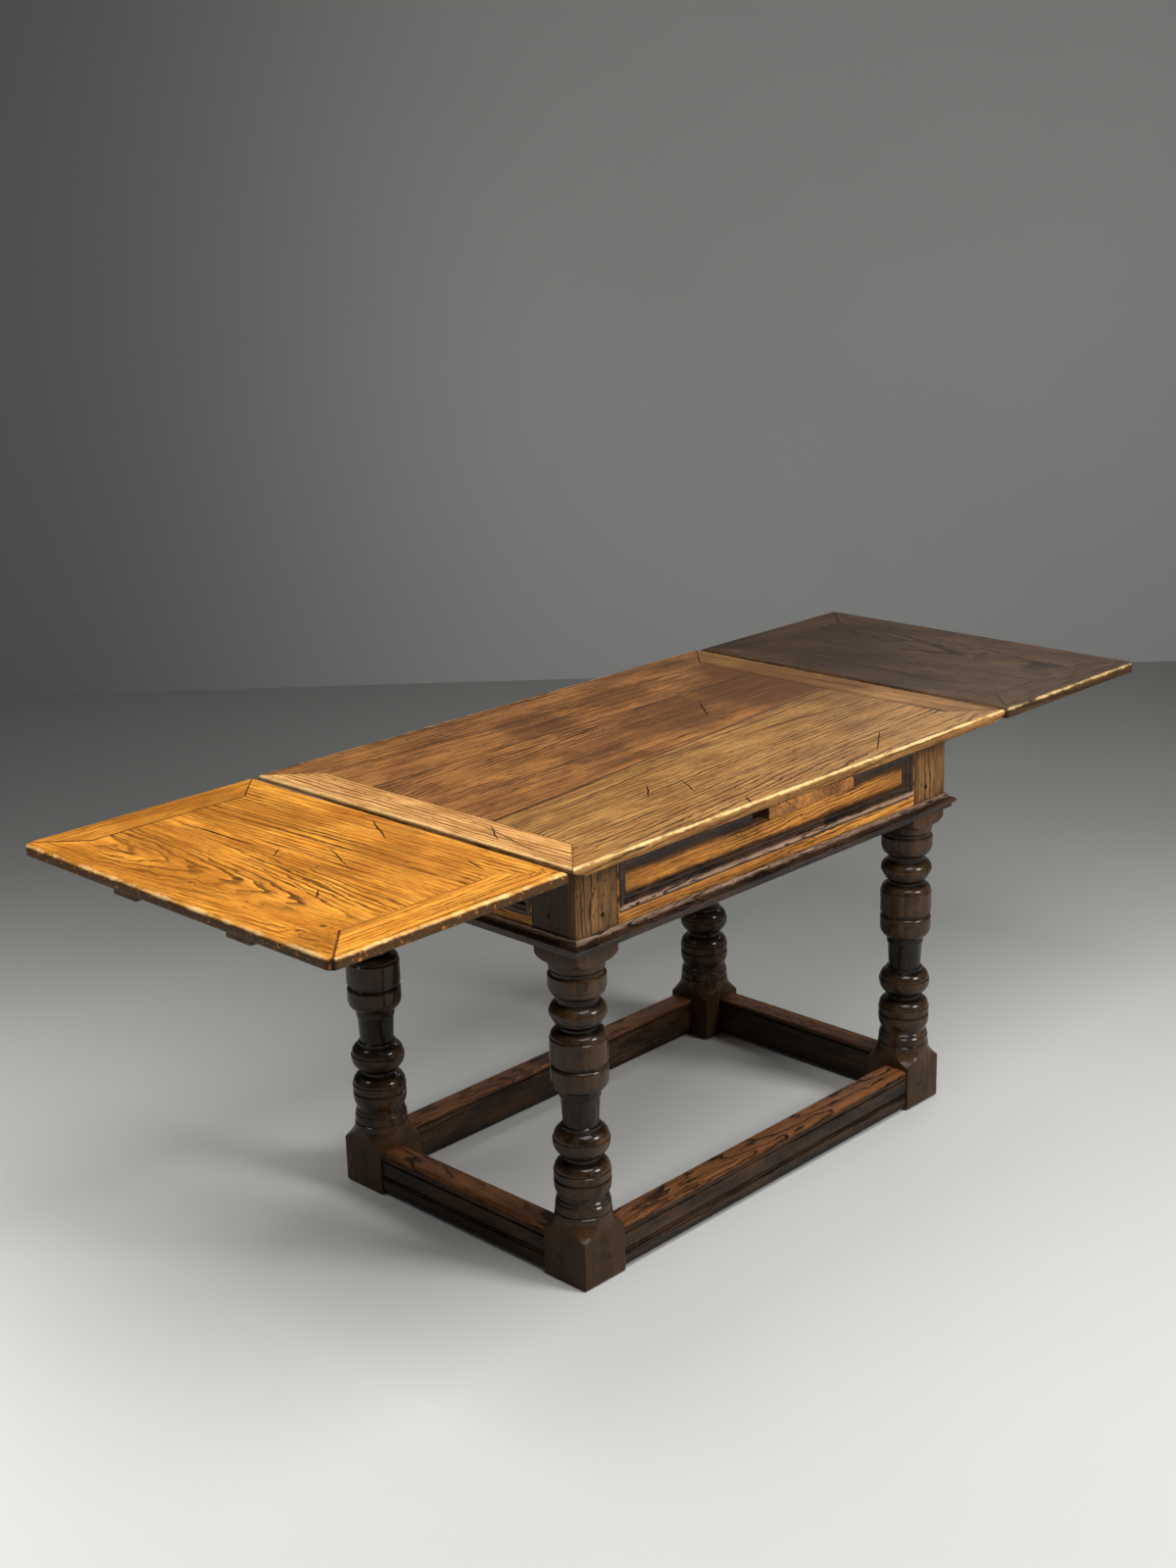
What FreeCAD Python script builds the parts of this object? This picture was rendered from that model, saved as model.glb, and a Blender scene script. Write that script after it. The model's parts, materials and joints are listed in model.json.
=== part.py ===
import FreeCAD
import Part
import Sketcher
import math
import os

# Oak draw-leaf table on four turned legs, shown extended.
# Millimetres. X runs along the table, Y from the front to the back, Z up.
# The origin is on the floor under the middle of the top.
# The table repeats when it is turned half round, so each piece of the back
# or the right is the front or left one turned about Z.

os.makedirs("parts", exist_ok=True)
doc = FreeCAD.newDocument("DrawLeafTable")
sheet = doc.addObject("Spreadsheet::Sheet", "Sizes")

SIZES = (
    # boards and travel
    ("table_height", 760.0),
    ("board_thick", 19.0),
    ("end_overhang", 76.0),
    ("side_overhang", 74.0),
    ("top_cleat_width", 80.0),
    ("leaf_cleat_width", 75.0),
    ("leaf_inner_board", 208.0),
    ("bridge_width", 224.0),
    ("bridge_thick", 20.0),
    ("bridge_slot_width", 120.0),
    ("bridge_slot_depth", 31.0),
    ("leaf_gap", 10.0),
    ("leaf_drop", 1.0),
    ("stow_clearance", 0.5),
    ("bridge_clearance", 1.5),
    ("slide_clearance", 0.3),
    ("fit_clearance", 0.2),
    ("overrun", 6.0),
    # joints between the planks of the top, at the left and right ends
    ("front_joint_left", -128.0),
    ("front_joint_right", -14.0),
    ("back_joint_left", 168.0),
    ("back_joint_right", 156.0),
    # worn edges
    ("edge_upper_round", 4.0),
    ("leaf_edge_round", 7.0),
    ("edge_lower_round", 3.0),
    ("leaf_arris_round", 10.0),
    ("leaf_corner_round", 14.0),
    ("top_nose_thick", 8.0),
    ("top_nose_bevel", 30.0),
    # frame
    ("frame_length", 968.0),
    ("frame_width", 592.0),
    ("leg_side", 95.0),
    ("foot_block_height", 84.0),
    ("foot_wear", 6.0),
    ("block_drop", 3.0),
    ("rail_height", 141.0),
    ("rail_thick", 28.0),
    ("rail_tenon_thick", 12.0),
    ("rail_tenon_setback", 8.0),
    ("rail_tenon_shoulder", 18.0),
    ("tenon_length", 52.0),
    ("mortise_room", 1.0),
    # sunk panel and its mouldings
    ("panel_top_margin", 13.0),
    ("panel_side_margin", 3.0),
    ("panel_field_height", 39.0),
    ("panel_moulding_width", 23.0),
    ("panel_sink", 9.0),
    ("panel_proud", 1.5),
    # base moulding
    ("base_height", 27.0),
    ("base_projection", 16.0),
    # stretchers
    ("stretcher_height", 72.0),
    ("stretcher_clearance", 8.0),
    ("stretcher_thick", 50.0),
    ("stretcher_setback", 4.0),
    ("stretcher_groove", 2.5),
    ("stretcher_round", 10.0),
    ("stretcher_tenon_thick", 16.0),
    ("stretcher_tenon_shoulder", 12.0),
    # pegs
    ("peg_diameter", 9.0),
    ("peg_depth", 40.0),
    ("peg_proud", 0.8),
    ("peg_inset", 36.0),
    ("rail_peg_height", 52.0),
    ("bridge_peg_inset", 42.0),
    ("bridge_peg_bite", 30.0),
    ("guide_peg_diameter", 24.0),
    ("guide_peg_clearance", 1.0),
    ("guide_peg_inset", 36.0),
    ("guide_peg_drop", 50.0),
    ("guide_peg_bite", 8.0),
    # lopers and the bearers that guide them
    ("loper_width", 54.0),
    ("loper_gap", 6.0),
    ("loper_leg_clearance", 2.0),
    ("loper_tip_inset", 4.0),
    ("loper_tip_depth", 9.0),
    ("loper_tail_clearance", 11.5),
    ("loper_side_clearance", 0.5),
    ("stop_pin_diameter", 10.0),
    ("stop_pin_projection", 7.0),
    ("stop_pin_clearance", 1.5),
    ("bearer_inset", 12.0),
    ("bearer_thick", 30.0),
    ("bearer_height", 62.0),
    ("bearer_housing", 8.0),
)


class Size:
    """A length that knows its value and the expression that drives it."""

    def __init__(self, value, text):
        self.value = float(value)
        self.text = text

    def __add__(self, other):
        return Size(self.value + other.value, "(%s + %s)" % (self.text, other.text))

    def __sub__(self, other):
        return Size(self.value - other.value, "(%s - %s)" % (self.text, other.text))

    def __neg__(self):
        return Size(-self.value, "(-1 * %s)" % self.text)

    def __mul__(self, other):
        if isinstance(other, Size):
            return Size(self.value * other.value, "(%s * %s)" % (self.text, other.text))
        return Size(self.value * other, "(%s * %.9g)" % (self.text, other))

    def __truediv__(self, other):
        if isinstance(other, Size):
            return Size(self.value / other.value, "(%s / %s)" % (self.text, other.text))
        return Size(self.value / other, "(%s / %.9g)" % (self.text, other))


class Sizes:
    """The driving sizes by name."""


s = Sizes()
for row, (alias, value) in enumerate(SIZES, start=1):
    sheet.set("A%d" % row, alias)
    sheet.set("B%d" % row, "%g" % value)
    sheet.setAlias("B%d" % row, alias)
    setattr(s, alias, Size(value, "Sizes." + alias))
doc.recompute()

zero = Size(0, "0")
top_length = s.frame_length + s.end_overhang * 2
top_width = s.frame_width + s.side_overhang * 2
half_top = top_length / 2
half_width = top_width / 2
half_leg = s.leg_side / 2
top_under = s.table_height - s.board_thick
frame_top = top_under - s.bridge_thick
rail_foot = frame_top - s.rail_height
leaf_top = s.table_height - s.leaf_drop
leaf_under = leaf_top - s.board_thick

# the drawn leaf, at the left
leaf_inner = -(half_top + s.leaf_gap)
leaf_length = half_top - s.bridge_width / 2 - s.bridge_clearance
leaf_outer = leaf_inner - leaf_length
draw = half_top + s.leaf_gap - s.bridge_width / 2 - s.bridge_clearance
rise = leaf_under - frame_top - s.stow_clearance
slope = rise / draw

# Lopers of one leaf run beside those of the other, clear of the legs.
loper_outer_place = (s.frame_width / 2 - s.leg_side - s.loper_leg_clearance
                     - s.stop_pin_projection - s.loper_width / 2)
loper_inner_place = loper_outer_place - s.loper_width - s.loper_gap
guide_peg_spread = s.frame_width / 2 - s.rail_thick - s.guide_peg_inset
half_bridge = s.bridge_width / 2
half_slot = s.bridge_slot_width / 2
bearer_spread = half_bridge - s.bearer_inset - s.bearer_thick / 2
bridge_peg_spread = s.frame_width / 2 - s.rail_thick - s.bridge_peg_inset


def body_of(label):
    body = doc.addObject("PartDesign::Body", label)
    body.Label = label
    return body


def plane_of(body, role):
    for feature in body.Origin.OriginFeatures:
        if feature.Role == role:
            return feature
    raise ValueError("no plane " + role)


def bind(thing, name, size):
    thing.setExpression(name, size.text)


def sketch_on(body, name, role, lift):
    sketch = body.newObject("Sketcher::SketchObject", name)
    sketch.AttachmentSupport = [(plane_of(body, role), "")]
    sketch.MapMode = "FlatFace"
    if lift is not None:
        sketch.AttachmentOffset = FreeCAD.Placement(
            FreeCAD.Vector(0, 0, lift.value), FreeCAD.Rotation())
        bind(sketch, "AttachmentOffset.Base.z", lift)
    return sketch


def pin(sketch, kind, place, end, size):
    index = sketch.addConstraint(
        Sketcher.Constraint(kind, -1, 1, place, end, size.value))
    bind(sketch, "Constraints[%d]" % index, size)


def arc_between(start, stop, centre, along):
    """Arc of under a half circle whose centre has one given coordinate."""
    (ua, va), (ub, vb) = start, stop
    gap = ub * ub - ua * ua + vb * vb - va * va
    if along == "u":
        middle = (centre, (gap - 2 * centre * (ub - ua)) / (2 * (vb - va)))
    else:
        middle = ((gap - 2 * centre * (vb - va)) / (2 * (ub - ua)), centre)
    first = math.atan2(va - middle[1], ua - middle[0])
    last = math.atan2(vb - middle[1], ub - middle[0])
    turn = (last - first + math.pi) % (2 * math.pi) - math.pi
    radius = math.hypot(ua - middle[0], va - middle[1])
    circle = Part.Circle(
        FreeCAD.Vector(middle[0], middle[1], 0), FreeCAD.Vector(0, 0, 1), radius)
    if turn > 0:
        return Part.ArcOfCircle(circle, first, first + turn), True
    return Part.ArcOfCircle(circle, last, last - turn), False


def outline(body, name, role, loops, lift=None):
    """Closed loops of nodes (u, v) or (u, v, along, centre), all bound to sizes.

    A node with a centre starts an arc whose centre has that u or v.
    """
    sketch = sketch_on(body, name, role, lift)
    for nodes in loops:
        count = len(nodes)
        places = []
        for index, node in enumerate(nodes):
            after = nodes[(index + 1) % count]
            start = (node[0].value, node[1].value)
            stop = (after[0].value, after[1].value)
            if len(node) == 4:
                shape, forward = arc_between(start, stop, node[3].value, node[2])
            else:
                shape = Part.LineSegment(
                    FreeCAD.Vector(start[0], start[1], 0),
                    FreeCAD.Vector(stop[0], stop[1], 0))
                forward = True
            places.append((sketch.addGeometry(shape, False), forward))
        for index in range(count):
            place, forward = places[index]
            follower, ahead = places[(index + 1) % count]
            sketch.addConstraint(Sketcher.Constraint(
                "Coincident", place, 2 if forward else 1, follower, 1 if ahead else 2))
        for index, node in enumerate(nodes):
            place, forward = places[index]
            pin(sketch, "DistanceX", place, 1 if forward else 2, node[0])
            pin(sketch, "DistanceY", place, 1 if forward else 2, node[1])
            if len(node) == 4:
                kind = "DistanceX" if node[2] == "u" else "DistanceY"
                pin(sketch, kind, place, 3, node[3])
    return sketch


def circles(body, name, role, rounds, lift=None):
    """Circles (u, v, diameter) bound to sizes."""
    sketch = sketch_on(body, name, role, lift)
    for u, v, diameter in rounds:
        place = sketch.addGeometry(Part.Circle(
            FreeCAD.Vector(u.value, v.value, 0),
            FreeCAD.Vector(0, 0, 1), diameter.value / 2), False)
        pin(sketch, "DistanceX", place, 3, u)
        pin(sketch, "DistanceY", place, 3, v)
        index = sketch.addConstraint(
            Sketcher.Constraint("Diameter", place, diameter.value))
        bind(sketch, "Constraints[%d]" % index, diameter)
    return sketch


def box_loop(left, low, right, high):
    return [(left, low), (right, low), (right, high), (left, high)]


def pad(body, name, sketch, length, side="One side", back=False):
    feature = body.newObject("PartDesign::Pad", name)
    feature.Profile = sketch
    feature.SideType = side
    feature.Reversed = back
    bind(feature, "Length", length)
    return feature


def pocket(body, name, sketch, depth, back=False):
    feature = body.newObject("PartDesign::Pocket", name)
    feature.Profile = sketch
    feature.Reversed = back
    bind(feature, "Length", depth)
    cuts.append(feature)
    return feature


def pocket_through(body, name, sketch):
    feature = body.newObject("PartDesign::Pocket", name)
    feature.Profile = sketch
    feature.SideType = "Symmetric"
    feature.Type = "ThroughAll"
    cuts.append(feature)
    return feature


def place(body, yaw, x=zero, y=zero, z=zero):
    body.Placement = FreeCAD.Placement(
        FreeCAD.Vector(x.value, y.value, z.value),
        FreeCAD.Rotation(FreeCAD.Vector(0, 0, 1), yaw))
    bind(body, "Placement.Base.x", x)
    bind(body, "Placement.Base.y", y)
    bind(body, "Placement.Base.z", z)
    nodes_out.append(body)


def place_side(body, yaw, offset):
    """Seats a piece drawn on the front face plane on one side of the frame."""
    if yaw == 0:
        place(body, yaw, zero, -offset)
    elif yaw == 180:
        place(body, yaw, zero, offset)
    elif yaw == -90:
        place(body, yaw, -offset, zero)
    else:
        place(body, yaw, offset, zero)


cuts = []
nodes_out = []

# Heights shared by mortises, tenons and pegs.
rail_tenon_low = rail_foot + s.rail_tenon_shoulder
rail_tenon_high = frame_top - s.rail_tenon_shoulder
stretcher_high = s.stretcher_clearance + s.stretcher_height
stretcher_tenon_low = s.stretcher_clearance + s.stretcher_tenon_shoulder
stretcher_tenon_high = stretcher_high - s.stretcher_tenon_shoulder
stretcher_tenon_near = (s.stretcher_setback + s.stretcher_thick / 2
                        - s.stretcher_tenon_thick / 2)
stretcher_tenon_far = stretcher_tenon_near + s.stretcher_tenon_thick
rail_tenon_near = s.rail_tenon_setback
rail_tenon_far = rail_tenon_near + s.rail_tenon_thick
peg_hole = s.peg_diameter + s.fit_clearance * 2
rail_peg_level = rail_foot + s.rail_peg_height
stretcher_peg_level = s.stretcher_clearance + s.stretcher_height / 2

# The turned part of a leg from the foot block up to the upper block.
# Rows: height share of the turned length, radius share of half the leg,
# and the radius share of the arc's centre where a curve starts.
turning_shares = (
    (0.000, 1.440, 1.800),
    (0.070, 0.985, None),
    (0.073, 0.950, None),
    (0.077, 0.975, None),
    (0.103, 0.960, None),
    (0.108, 0.920, None),
    (0.118, 0.915, None),
    (0.122, 0.880, None),
    (0.134, 0.880, 0.301),
    (0.170, 0.990, None),
    (0.182, 0.990, None),
    (0.186, 0.915, None),
    (0.191, 0.915, None),
    (0.195, 0.990, None),
    (0.216, 0.990, None),
    (0.219, 0.945, None),
    (0.222, 0.965, 0.640),
    (0.252, 0.700, None),
    (0.256, 0.640, None),
    (0.266, 0.640, None),
    (0.270, 0.690, None),
    (0.275, 0.735, 0.424),
    (0.320, 0.990, None),
    (0.329, 0.990, None),
    (0.331, 0.945, None),
    (0.334, 0.955, 0.587),
    (0.366, 0.745, None),
    (0.369, 0.695, None),
    (0.377, 0.690, None),
    (0.382, 0.620, None),
    (0.474, 0.675, None),
    (0.480, 0.715, None),
    (0.489, 0.715, None),
    (0.502, 0.735, 0.558),
    (0.540, 0.990, None),
    (0.576, 0.990, 0.834),
    (0.590, 0.890, None),
    (0.600, 0.880, None),
    (0.604, 0.990, None),
    (0.682, 0.990, None),
    (0.686, 0.940, None),
    (0.689, 0.960, 0.729),
    (0.711, 0.760, None),
    (0.714, 0.665, None),
    (0.723, 0.665, None),
    (0.730, 0.725, 0.560),
    (0.748, 0.865, None),
    (0.750, 0.890, 0.600),
    (0.767, 0.955, None),
    (0.769, 0.985, None),
    (0.777, 0.985, 0.640),
    (0.806, 0.745, None),
    (0.809, 0.715, None),
    (0.826, 0.715, None),
    (0.830, 0.750, 0.640),
    (0.860, 0.960, None),
    (0.862, 0.990, None),
    (0.902, 0.990, None),
    (0.906, 0.895, 1.100),
    (0.927, 0.955, None),
    (0.952, 0.990, 0.990),
    (1.000, 1.440, None),
)


def leg(label, yaw, x_side, y_side):
    body = body_of(label)
    square = outline(body, label + "_square", "XY_Plane",
                     [box_loop(-half_leg, -half_leg, half_leg, half_leg)])
    blank = pad(body, label + "_blank", square, frame_top)
    doc.recompute()
    worn = body.newObject("PartDesign::Chamfer", label + "_worn_foot")
    foot = ["Edge%d" % (index + 1) for index, edge in enumerate(blank.Shape.Edges)
            if edge.BoundBox.ZMax < s.foot_wear.value]
    worn.Base = (blank, foot)
    bind(worn, "Size", s.foot_wear)
    turned_low = s.foot_block_height
    turned_long = rail_foot - s.block_drop - turned_low
    profile = []
    for height_share, radius_share, centre_share in turning_shares:
        node = (half_leg * radius_share, turned_low + turned_long * height_share)
        if centre_share is not None:
            node = node + ("u", half_leg * centre_share)
        profile.append(node)
    profile.append((s.leg_side, turned_low + turned_long))
    profile.append((s.leg_side, turned_low))
    turning = outline(body, label + "_profile", "XZ_Plane", [profile])
    groove = body.newObject("PartDesign::Groove", label + "_turning")
    groove.Profile = turning
    groove.ReferenceAxis = (turning, ["V_Axis"])
    groove.Angle = 360
    cuts.append(groove)
    near_rail = rail_tenon_near - half_leg
    far_rail = rail_tenon_far - half_leg
    near_foot = stretcher_tenon_near - half_leg
    far_foot = stretcher_tenon_far - half_leg
    mortises = [
        box_loop(near_rail, rail_tenon_low, far_rail, rail_tenon_high),
        box_loop(near_foot, stretcher_tenon_low, far_foot, stretcher_tenon_high)]
    depth = s.tenon_length + s.mortise_room
    along = outline(body, label + "_mortises_along", "YZ_Plane", mortises, half_leg)
    pocket(body, label + "_mortise_along", along, depth)
    across = outline(body, label + "_mortises_across", "XZ_Plane", mortises, -half_leg)
    pocket(body, label + "_mortise_across", across, depth, True)
    inset = half_leg - s.peg_inset
    rounds = [(inset, rail_peg_level, peg_hole), (inset, stretcher_peg_level, peg_hole)]
    front = circles(body, label + "_peg_rounds_front", "XZ_Plane", rounds, half_leg)
    pocket(body, label + "_peg_holes_front", front, s.peg_depth)
    side = circles(body, label + "_peg_rounds_side", "YZ_Plane", rounds, -half_leg)
    pocket(body, label + "_peg_holes_side", side, s.peg_depth, True)
    x_place = s.frame_length / 2 - half_leg
    y_place = s.frame_width / 2 - half_leg
    place(body, yaw, x_place * x_side, y_place * y_side)


leg("leg_front_left", 0, -1, -1)
leg("leg_front_right", 90, 1, -1)
leg("leg_back_right", 180, 1, 1)
leg("leg_back_left", 270, -1, 1)


# The loper's underside at a place along X, for the left leaf drawn out.
def loper_under(x):
    return leaf_under - s.loper_tip_depth - slope * (x - leaf_outer - s.loper_tip_inset)


loper_step = s.stow_clearance + s.slide_clearance - slope * s.bridge_clearance
half_loper = s.loper_width / 2
notch_half = half_loper + s.loper_side_clearance

# Sides of the frame: rail, sunk panel mouldings, base moulding, stretcher, pegs.
# Each is drawn with the outer face of the frame on Y zero and X along the side.
panel_high = frame_top - s.panel_top_margin
panel_low = panel_high - s.panel_field_height - s.panel_moulding_width * 2
moulding_deep = s.panel_sink + s.panel_proud

# Section of the panel moulding: share of its width from the panel's edge,
# share of its depth above the sunk field.
moulding_shares = (
    (0.00, 0.00),
    (0.00, 0.78),
    (0.06, 0.96),
    (0.18, 1.00),
    (0.30, 0.94),
    (0.38, 0.74),
    (0.42, 0.62),
    (0.56, 0.58),
    (0.68, 0.40),
    (0.74, 0.24),
    (0.88, 0.24),
    (1.00, 0.10),
    (1.00, 0.00),
)


def panel_strip(label, upright, edge, direction, half_panel):
    """One mitred strip of the moulding round a sunk panel."""
    strip = body_of(label)
    section = []
    for width_share, depth_share in moulding_shares:
        across = edge + s.panel_moulding_width * (width_share * direction)
        deep = s.panel_sink - moulding_deep * depth_share
        section.append((across, deep) if upright else (deep, across))
    width = s.panel_moulding_width * direction
    if upright:
        profile = outline(strip, label + "_section", "XY_Plane", [section], panel_low)
        pad(strip, label + "_run", profile, panel_high - panel_low)
        inner = edge + width
        outer = edge
        loops = [
            [(outer, panel_low), (inner, panel_low + s.panel_moulding_width),
             (inner, panel_low - s.overrun), (outer, panel_low - s.overrun)],
            [(outer, panel_high), (inner, panel_high - s.panel_moulding_width),
             (inner, panel_high + s.overrun), (outer, panel_high + s.overrun)]]
    else:
        profile = outline(strip, label + "_section", "YZ_Plane", [section])
        pad(strip, label + "_run", profile, half_panel * 2, "Symmetric")
        loops = []
        for end in (-1, 1):
            tip = half_panel * end
            inner = tip - s.panel_moulding_width * end
            past = tip + s.overrun * end
            loops.append([(tip, edge), (inner, edge + width),
                          (past, edge + width), (past, edge)])
    mitre = outline(strip, label + "_mitres", "XZ_Plane", loops)
    pocket_through(strip, label + "_mitre_cut", mitre)
    return strip


def side(name, yaw, span, offset, is_end):
    half_span = span / 2 - s.leg_side

    rail = body_of("frieze_" + name)
    face = outline(rail, rail.Label + "_face", "XZ_Plane",
                   [box_loop(-half_span, rail_foot, half_span, frame_top)])
    pad(rail, rail.Label + "_board", face, s.rail_thick, back=True)
    bar = outline(rail, rail.Label + "_tenon_section", "YZ_Plane",
                  [box_loop(rail_tenon_near, rail_tenon_low,
                            rail_tenon_far, rail_tenon_high)])
    pad(rail, rail.Label + "_tenons", bar, (half_span + s.tenon_length) * 2, "Symmetric")
    half_panel = half_span - s.panel_side_margin
    field = outline(rail, rail.Label + "_field", "XZ_Plane",
                    [box_loop(-half_panel, panel_low, half_panel, panel_high)])
    pocket(rail, rail.Label + "_sunk_field", field, s.panel_sink)
    peg_place = half_span + s.peg_inset
    holes = circles(rail, rail.Label + "_peg_rounds", "XZ_Plane",
                    [(-peg_place, rail_peg_level, peg_hole),
                     (peg_place, rail_peg_level, peg_hole)])
    pocket(rail, rail.Label + "_peg_holes", holes, s.peg_depth)
    if is_end:
        inner_face = s.rail_thick - offset
        notch_floor = loper_under(inner_face) - s.slide_clearance
        loops = []
        for middle in (-loper_inner_place, loper_outer_place):
            loops.append(box_loop(middle - notch_half, notch_floor,
                                  middle + notch_half, frame_top + s.overrun))
        notches = outline(rail, rail.Label + "_notches", "XZ_Plane", loops)
        pocket_through(rail, rail.Label + "_loper_notches", notches)
    else:
        half_bearer = s.bearer_thick / 2
        loops = []
        for middle in (-bearer_spread, bearer_spread):
            loops.append(box_loop(middle - half_bearer, frame_top - s.bearer_height,
                                  middle + half_bearer, frame_top + s.overrun))
        housing = outline(rail, rail.Label + "_housings", "XZ_Plane", loops,
                          -s.rail_thick)
        pocket(rail, rail.Label + "_bearer_housings", housing, s.bearer_housing, True)
    if name == "front":
        slot = outline(rail, rail.Label + "_slot", "XZ_Plane",
                       [box_loop(-half_slot, frame_top - s.bridge_slot_depth,
                                 half_slot, frame_top + s.overrun)])
        pocket_through(rail, rail.Label + "_bridge_slot", slot)
    place_side(rail, yaw, offset)

    label = "panel_moulding_" + name
    strips = [
        panel_strip(label + "_low", False, panel_low, 1, half_panel),
        panel_strip(label + "_high", False, panel_high, -1, half_panel),
        panel_strip(label + "_first", True, -half_panel, 1, half_panel),
        panel_strip(label + "_last", True, half_panel, -1, half_panel)]
    if name == "front":
        high = strips[1]
        gap = outline(high, high.Label + "_gap", "XZ_Plane",
                      [box_loop(-half_slot, panel_high - s.panel_moulding_width - s.overrun,
                                half_slot, panel_high + s.overrun)])
        pocket_through(high, high.Label + "_gap_cut", gap)
    group = doc.addObject("Part::Compound", label)
    group.Label = label
    group.Links = strips
    place_side(group, yaw, offset)

    base = body_of("base_moulding_" + name)
    out = s.base_projection
    tall = s.base_height
    section = [
        (zero, rail_foot), (-out * base_shares["fillet_out"], rail_foot),
        (-out * base_shares["fillet_out"], rail_foot + tall * base_shares["fillet_high"]),
        (-out, rail_foot + tall * base_shares["bead_low"]),
        (-out, rail_foot + tall * base_shares["bead_high"]),
        (-out * base_shares["cove_out"], rail_foot + tall * base_shares["cove_low"],
         "u", -out * base_shares["cove_centre"]),
        (-out * base_shares["lip_out"], rail_foot + tall * base_shares["lip_low"]),
        (-out * base_shares["lip_out"], rail_foot + tall), (zero, rail_foot + tall)]
    profile = outline(base, base.Label + "_section", "YZ_Plane", [section])
    half_base = span / 2 + out
    pad(base, base.Label + "_run", profile, half_base * 2, "Symmetric")
    loops = []
    for end in (-1, 1):
        tip = half_base * end
        corner = span / 2 * end
        past = tip + s.overrun * end
        loops.append([(tip, -out), (corner, zero), (past, zero), (past, -out)])
    mitre = outline(base, base.Label + "_mitres", "XY_Plane", loops)
    pocket_through(base, base.Label + "_mitre_cut", mitre)
    place_side(base, yaw, offset)

    stretcher = body_of("stretcher_" + name)
    near = s.stretcher_setback
    far = near + s.stretcher_thick
    low = s.stretcher_clearance
    tall = s.stretcher_height
    cut = near + s.stretcher_groove
    inner_cut = far - s.stretcher_groove
    section = [(far, low), (near, low)]
    for low_share, high_share in stretcher_groove_shares:
        section += [(near, low + tall * low_share), (cut, low + tall * low_share),
                    (cut, low + tall * high_share), (near, low + tall * high_share)]
    section += [
        (near, low + tall - s.stretcher_round, "u", near + s.stretcher_round),
        (near + s.stretcher_round, low + tall), (far, low + tall)]
    for low_share, high_share in stretcher_inner_shares:
        section += [(far, low + tall * high_share), (inner_cut, low + tall * high_share),
                    (inner_cut, low + tall * low_share), (far, low + tall * low_share)]
    profile = outline(stretcher, stretcher.Label + "_section", "YZ_Plane", [section])
    pad(stretcher, stretcher.Label + "_run", profile, half_span * 2, "Symmetric")
    bar = outline(stretcher, stretcher.Label + "_tenon_section", "YZ_Plane",
                  [box_loop(stretcher_tenon_near, stretcher_tenon_low,
                            stretcher_tenon_far, stretcher_tenon_high)])
    pad(stretcher, stretcher.Label + "_tenons", bar,
        (half_span + s.tenon_length) * 2, "Symmetric")
    holes = circles(stretcher, stretcher.Label + "_peg_rounds", "XZ_Plane",
                    [(-peg_place, stretcher_peg_level, peg_hole),
                     (peg_place, stretcher_peg_level, peg_hole)])
    pocket(stretcher, stretcher.Label + "_peg_holes", holes, s.peg_depth)
    place_side(stretcher, yaw, offset)

    pegs = body_of("pegs_" + name)
    rounds = []
    for level in (rail_peg_level, stretcher_peg_level):
        for end in (-1, 1):
            rounds.append((peg_place * end, level, s.peg_diameter))
    heads = circles(pegs, pegs.Label + "_rounds", "XZ_Plane", rounds, s.peg_proud)
    pad(pegs, pegs.Label + "_run", heads, s.peg_depth + s.peg_proud, back=True)
    place_side(pegs, yaw, offset)


base_shares = {"fillet_out": 0.62, "fillet_high": 0.24, "bead_low": 0.34,
               "bead_high": 0.56, "cove_out": 0.80, "cove_low": 0.62,
               "cove_centre": 1.10, "lip_out": 0.22, "lip_low": 0.90}
stretcher_groove_shares = ((0.30, 0.33), (0.38, 0.41), (0.78, 0.81))
stretcher_inner_shares = ((0.84, 0.87),)

side("front", 0, s.frame_length, s.frame_width / 2, False)
side("left", -90, s.frame_width, s.frame_length / 2, True)
side("back", 180, s.frame_length, s.frame_width / 2, False)
side("right", 90, s.frame_width, s.frame_length / 2, True)

# Fixed bridge across the middle of the frame, with the guide peg holes.
bridge = body_of("bridge")
plan = outline(bridge, "bridge_plan", "XY_Plane",
               [box_loop(-half_bridge, -half_width, half_bridge, half_width)], frame_top)
pad(bridge, "bridge_board", plan, s.bridge_thick)
guide_hole = s.guide_peg_diameter + s.guide_peg_clearance * 2
bridge_rounds = [(zero, -guide_peg_spread, guide_hole), (zero, guide_peg_spread, guide_hole)]
bridge_peg_rounds = []
for x_side in (-1, 1):
    for y_side in (-1, 1):
        x_place = bearer_spread * x_side
        y_place = bridge_peg_spread * y_side
        bridge_rounds.append((x_place, y_place, peg_hole))
        bridge_peg_rounds.append((x_place, y_place, s.peg_diameter))
holes = circles(bridge, "bridge_rounds", "XY_Plane", bridge_rounds)
pocket_through(bridge, "bridge_holes", holes)
place(bridge, 0)

bridge_pegs = body_of("bridge_pegs")
heads = circles(bridge_pegs, "bridge_peg_rounds", "XY_Plane", bridge_peg_rounds, top_under)
pad(bridge_pegs, "bridge_peg_run", heads, s.bridge_thick + s.bridge_peg_bite, back=True)
place(bridge_pegs, 0)


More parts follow.
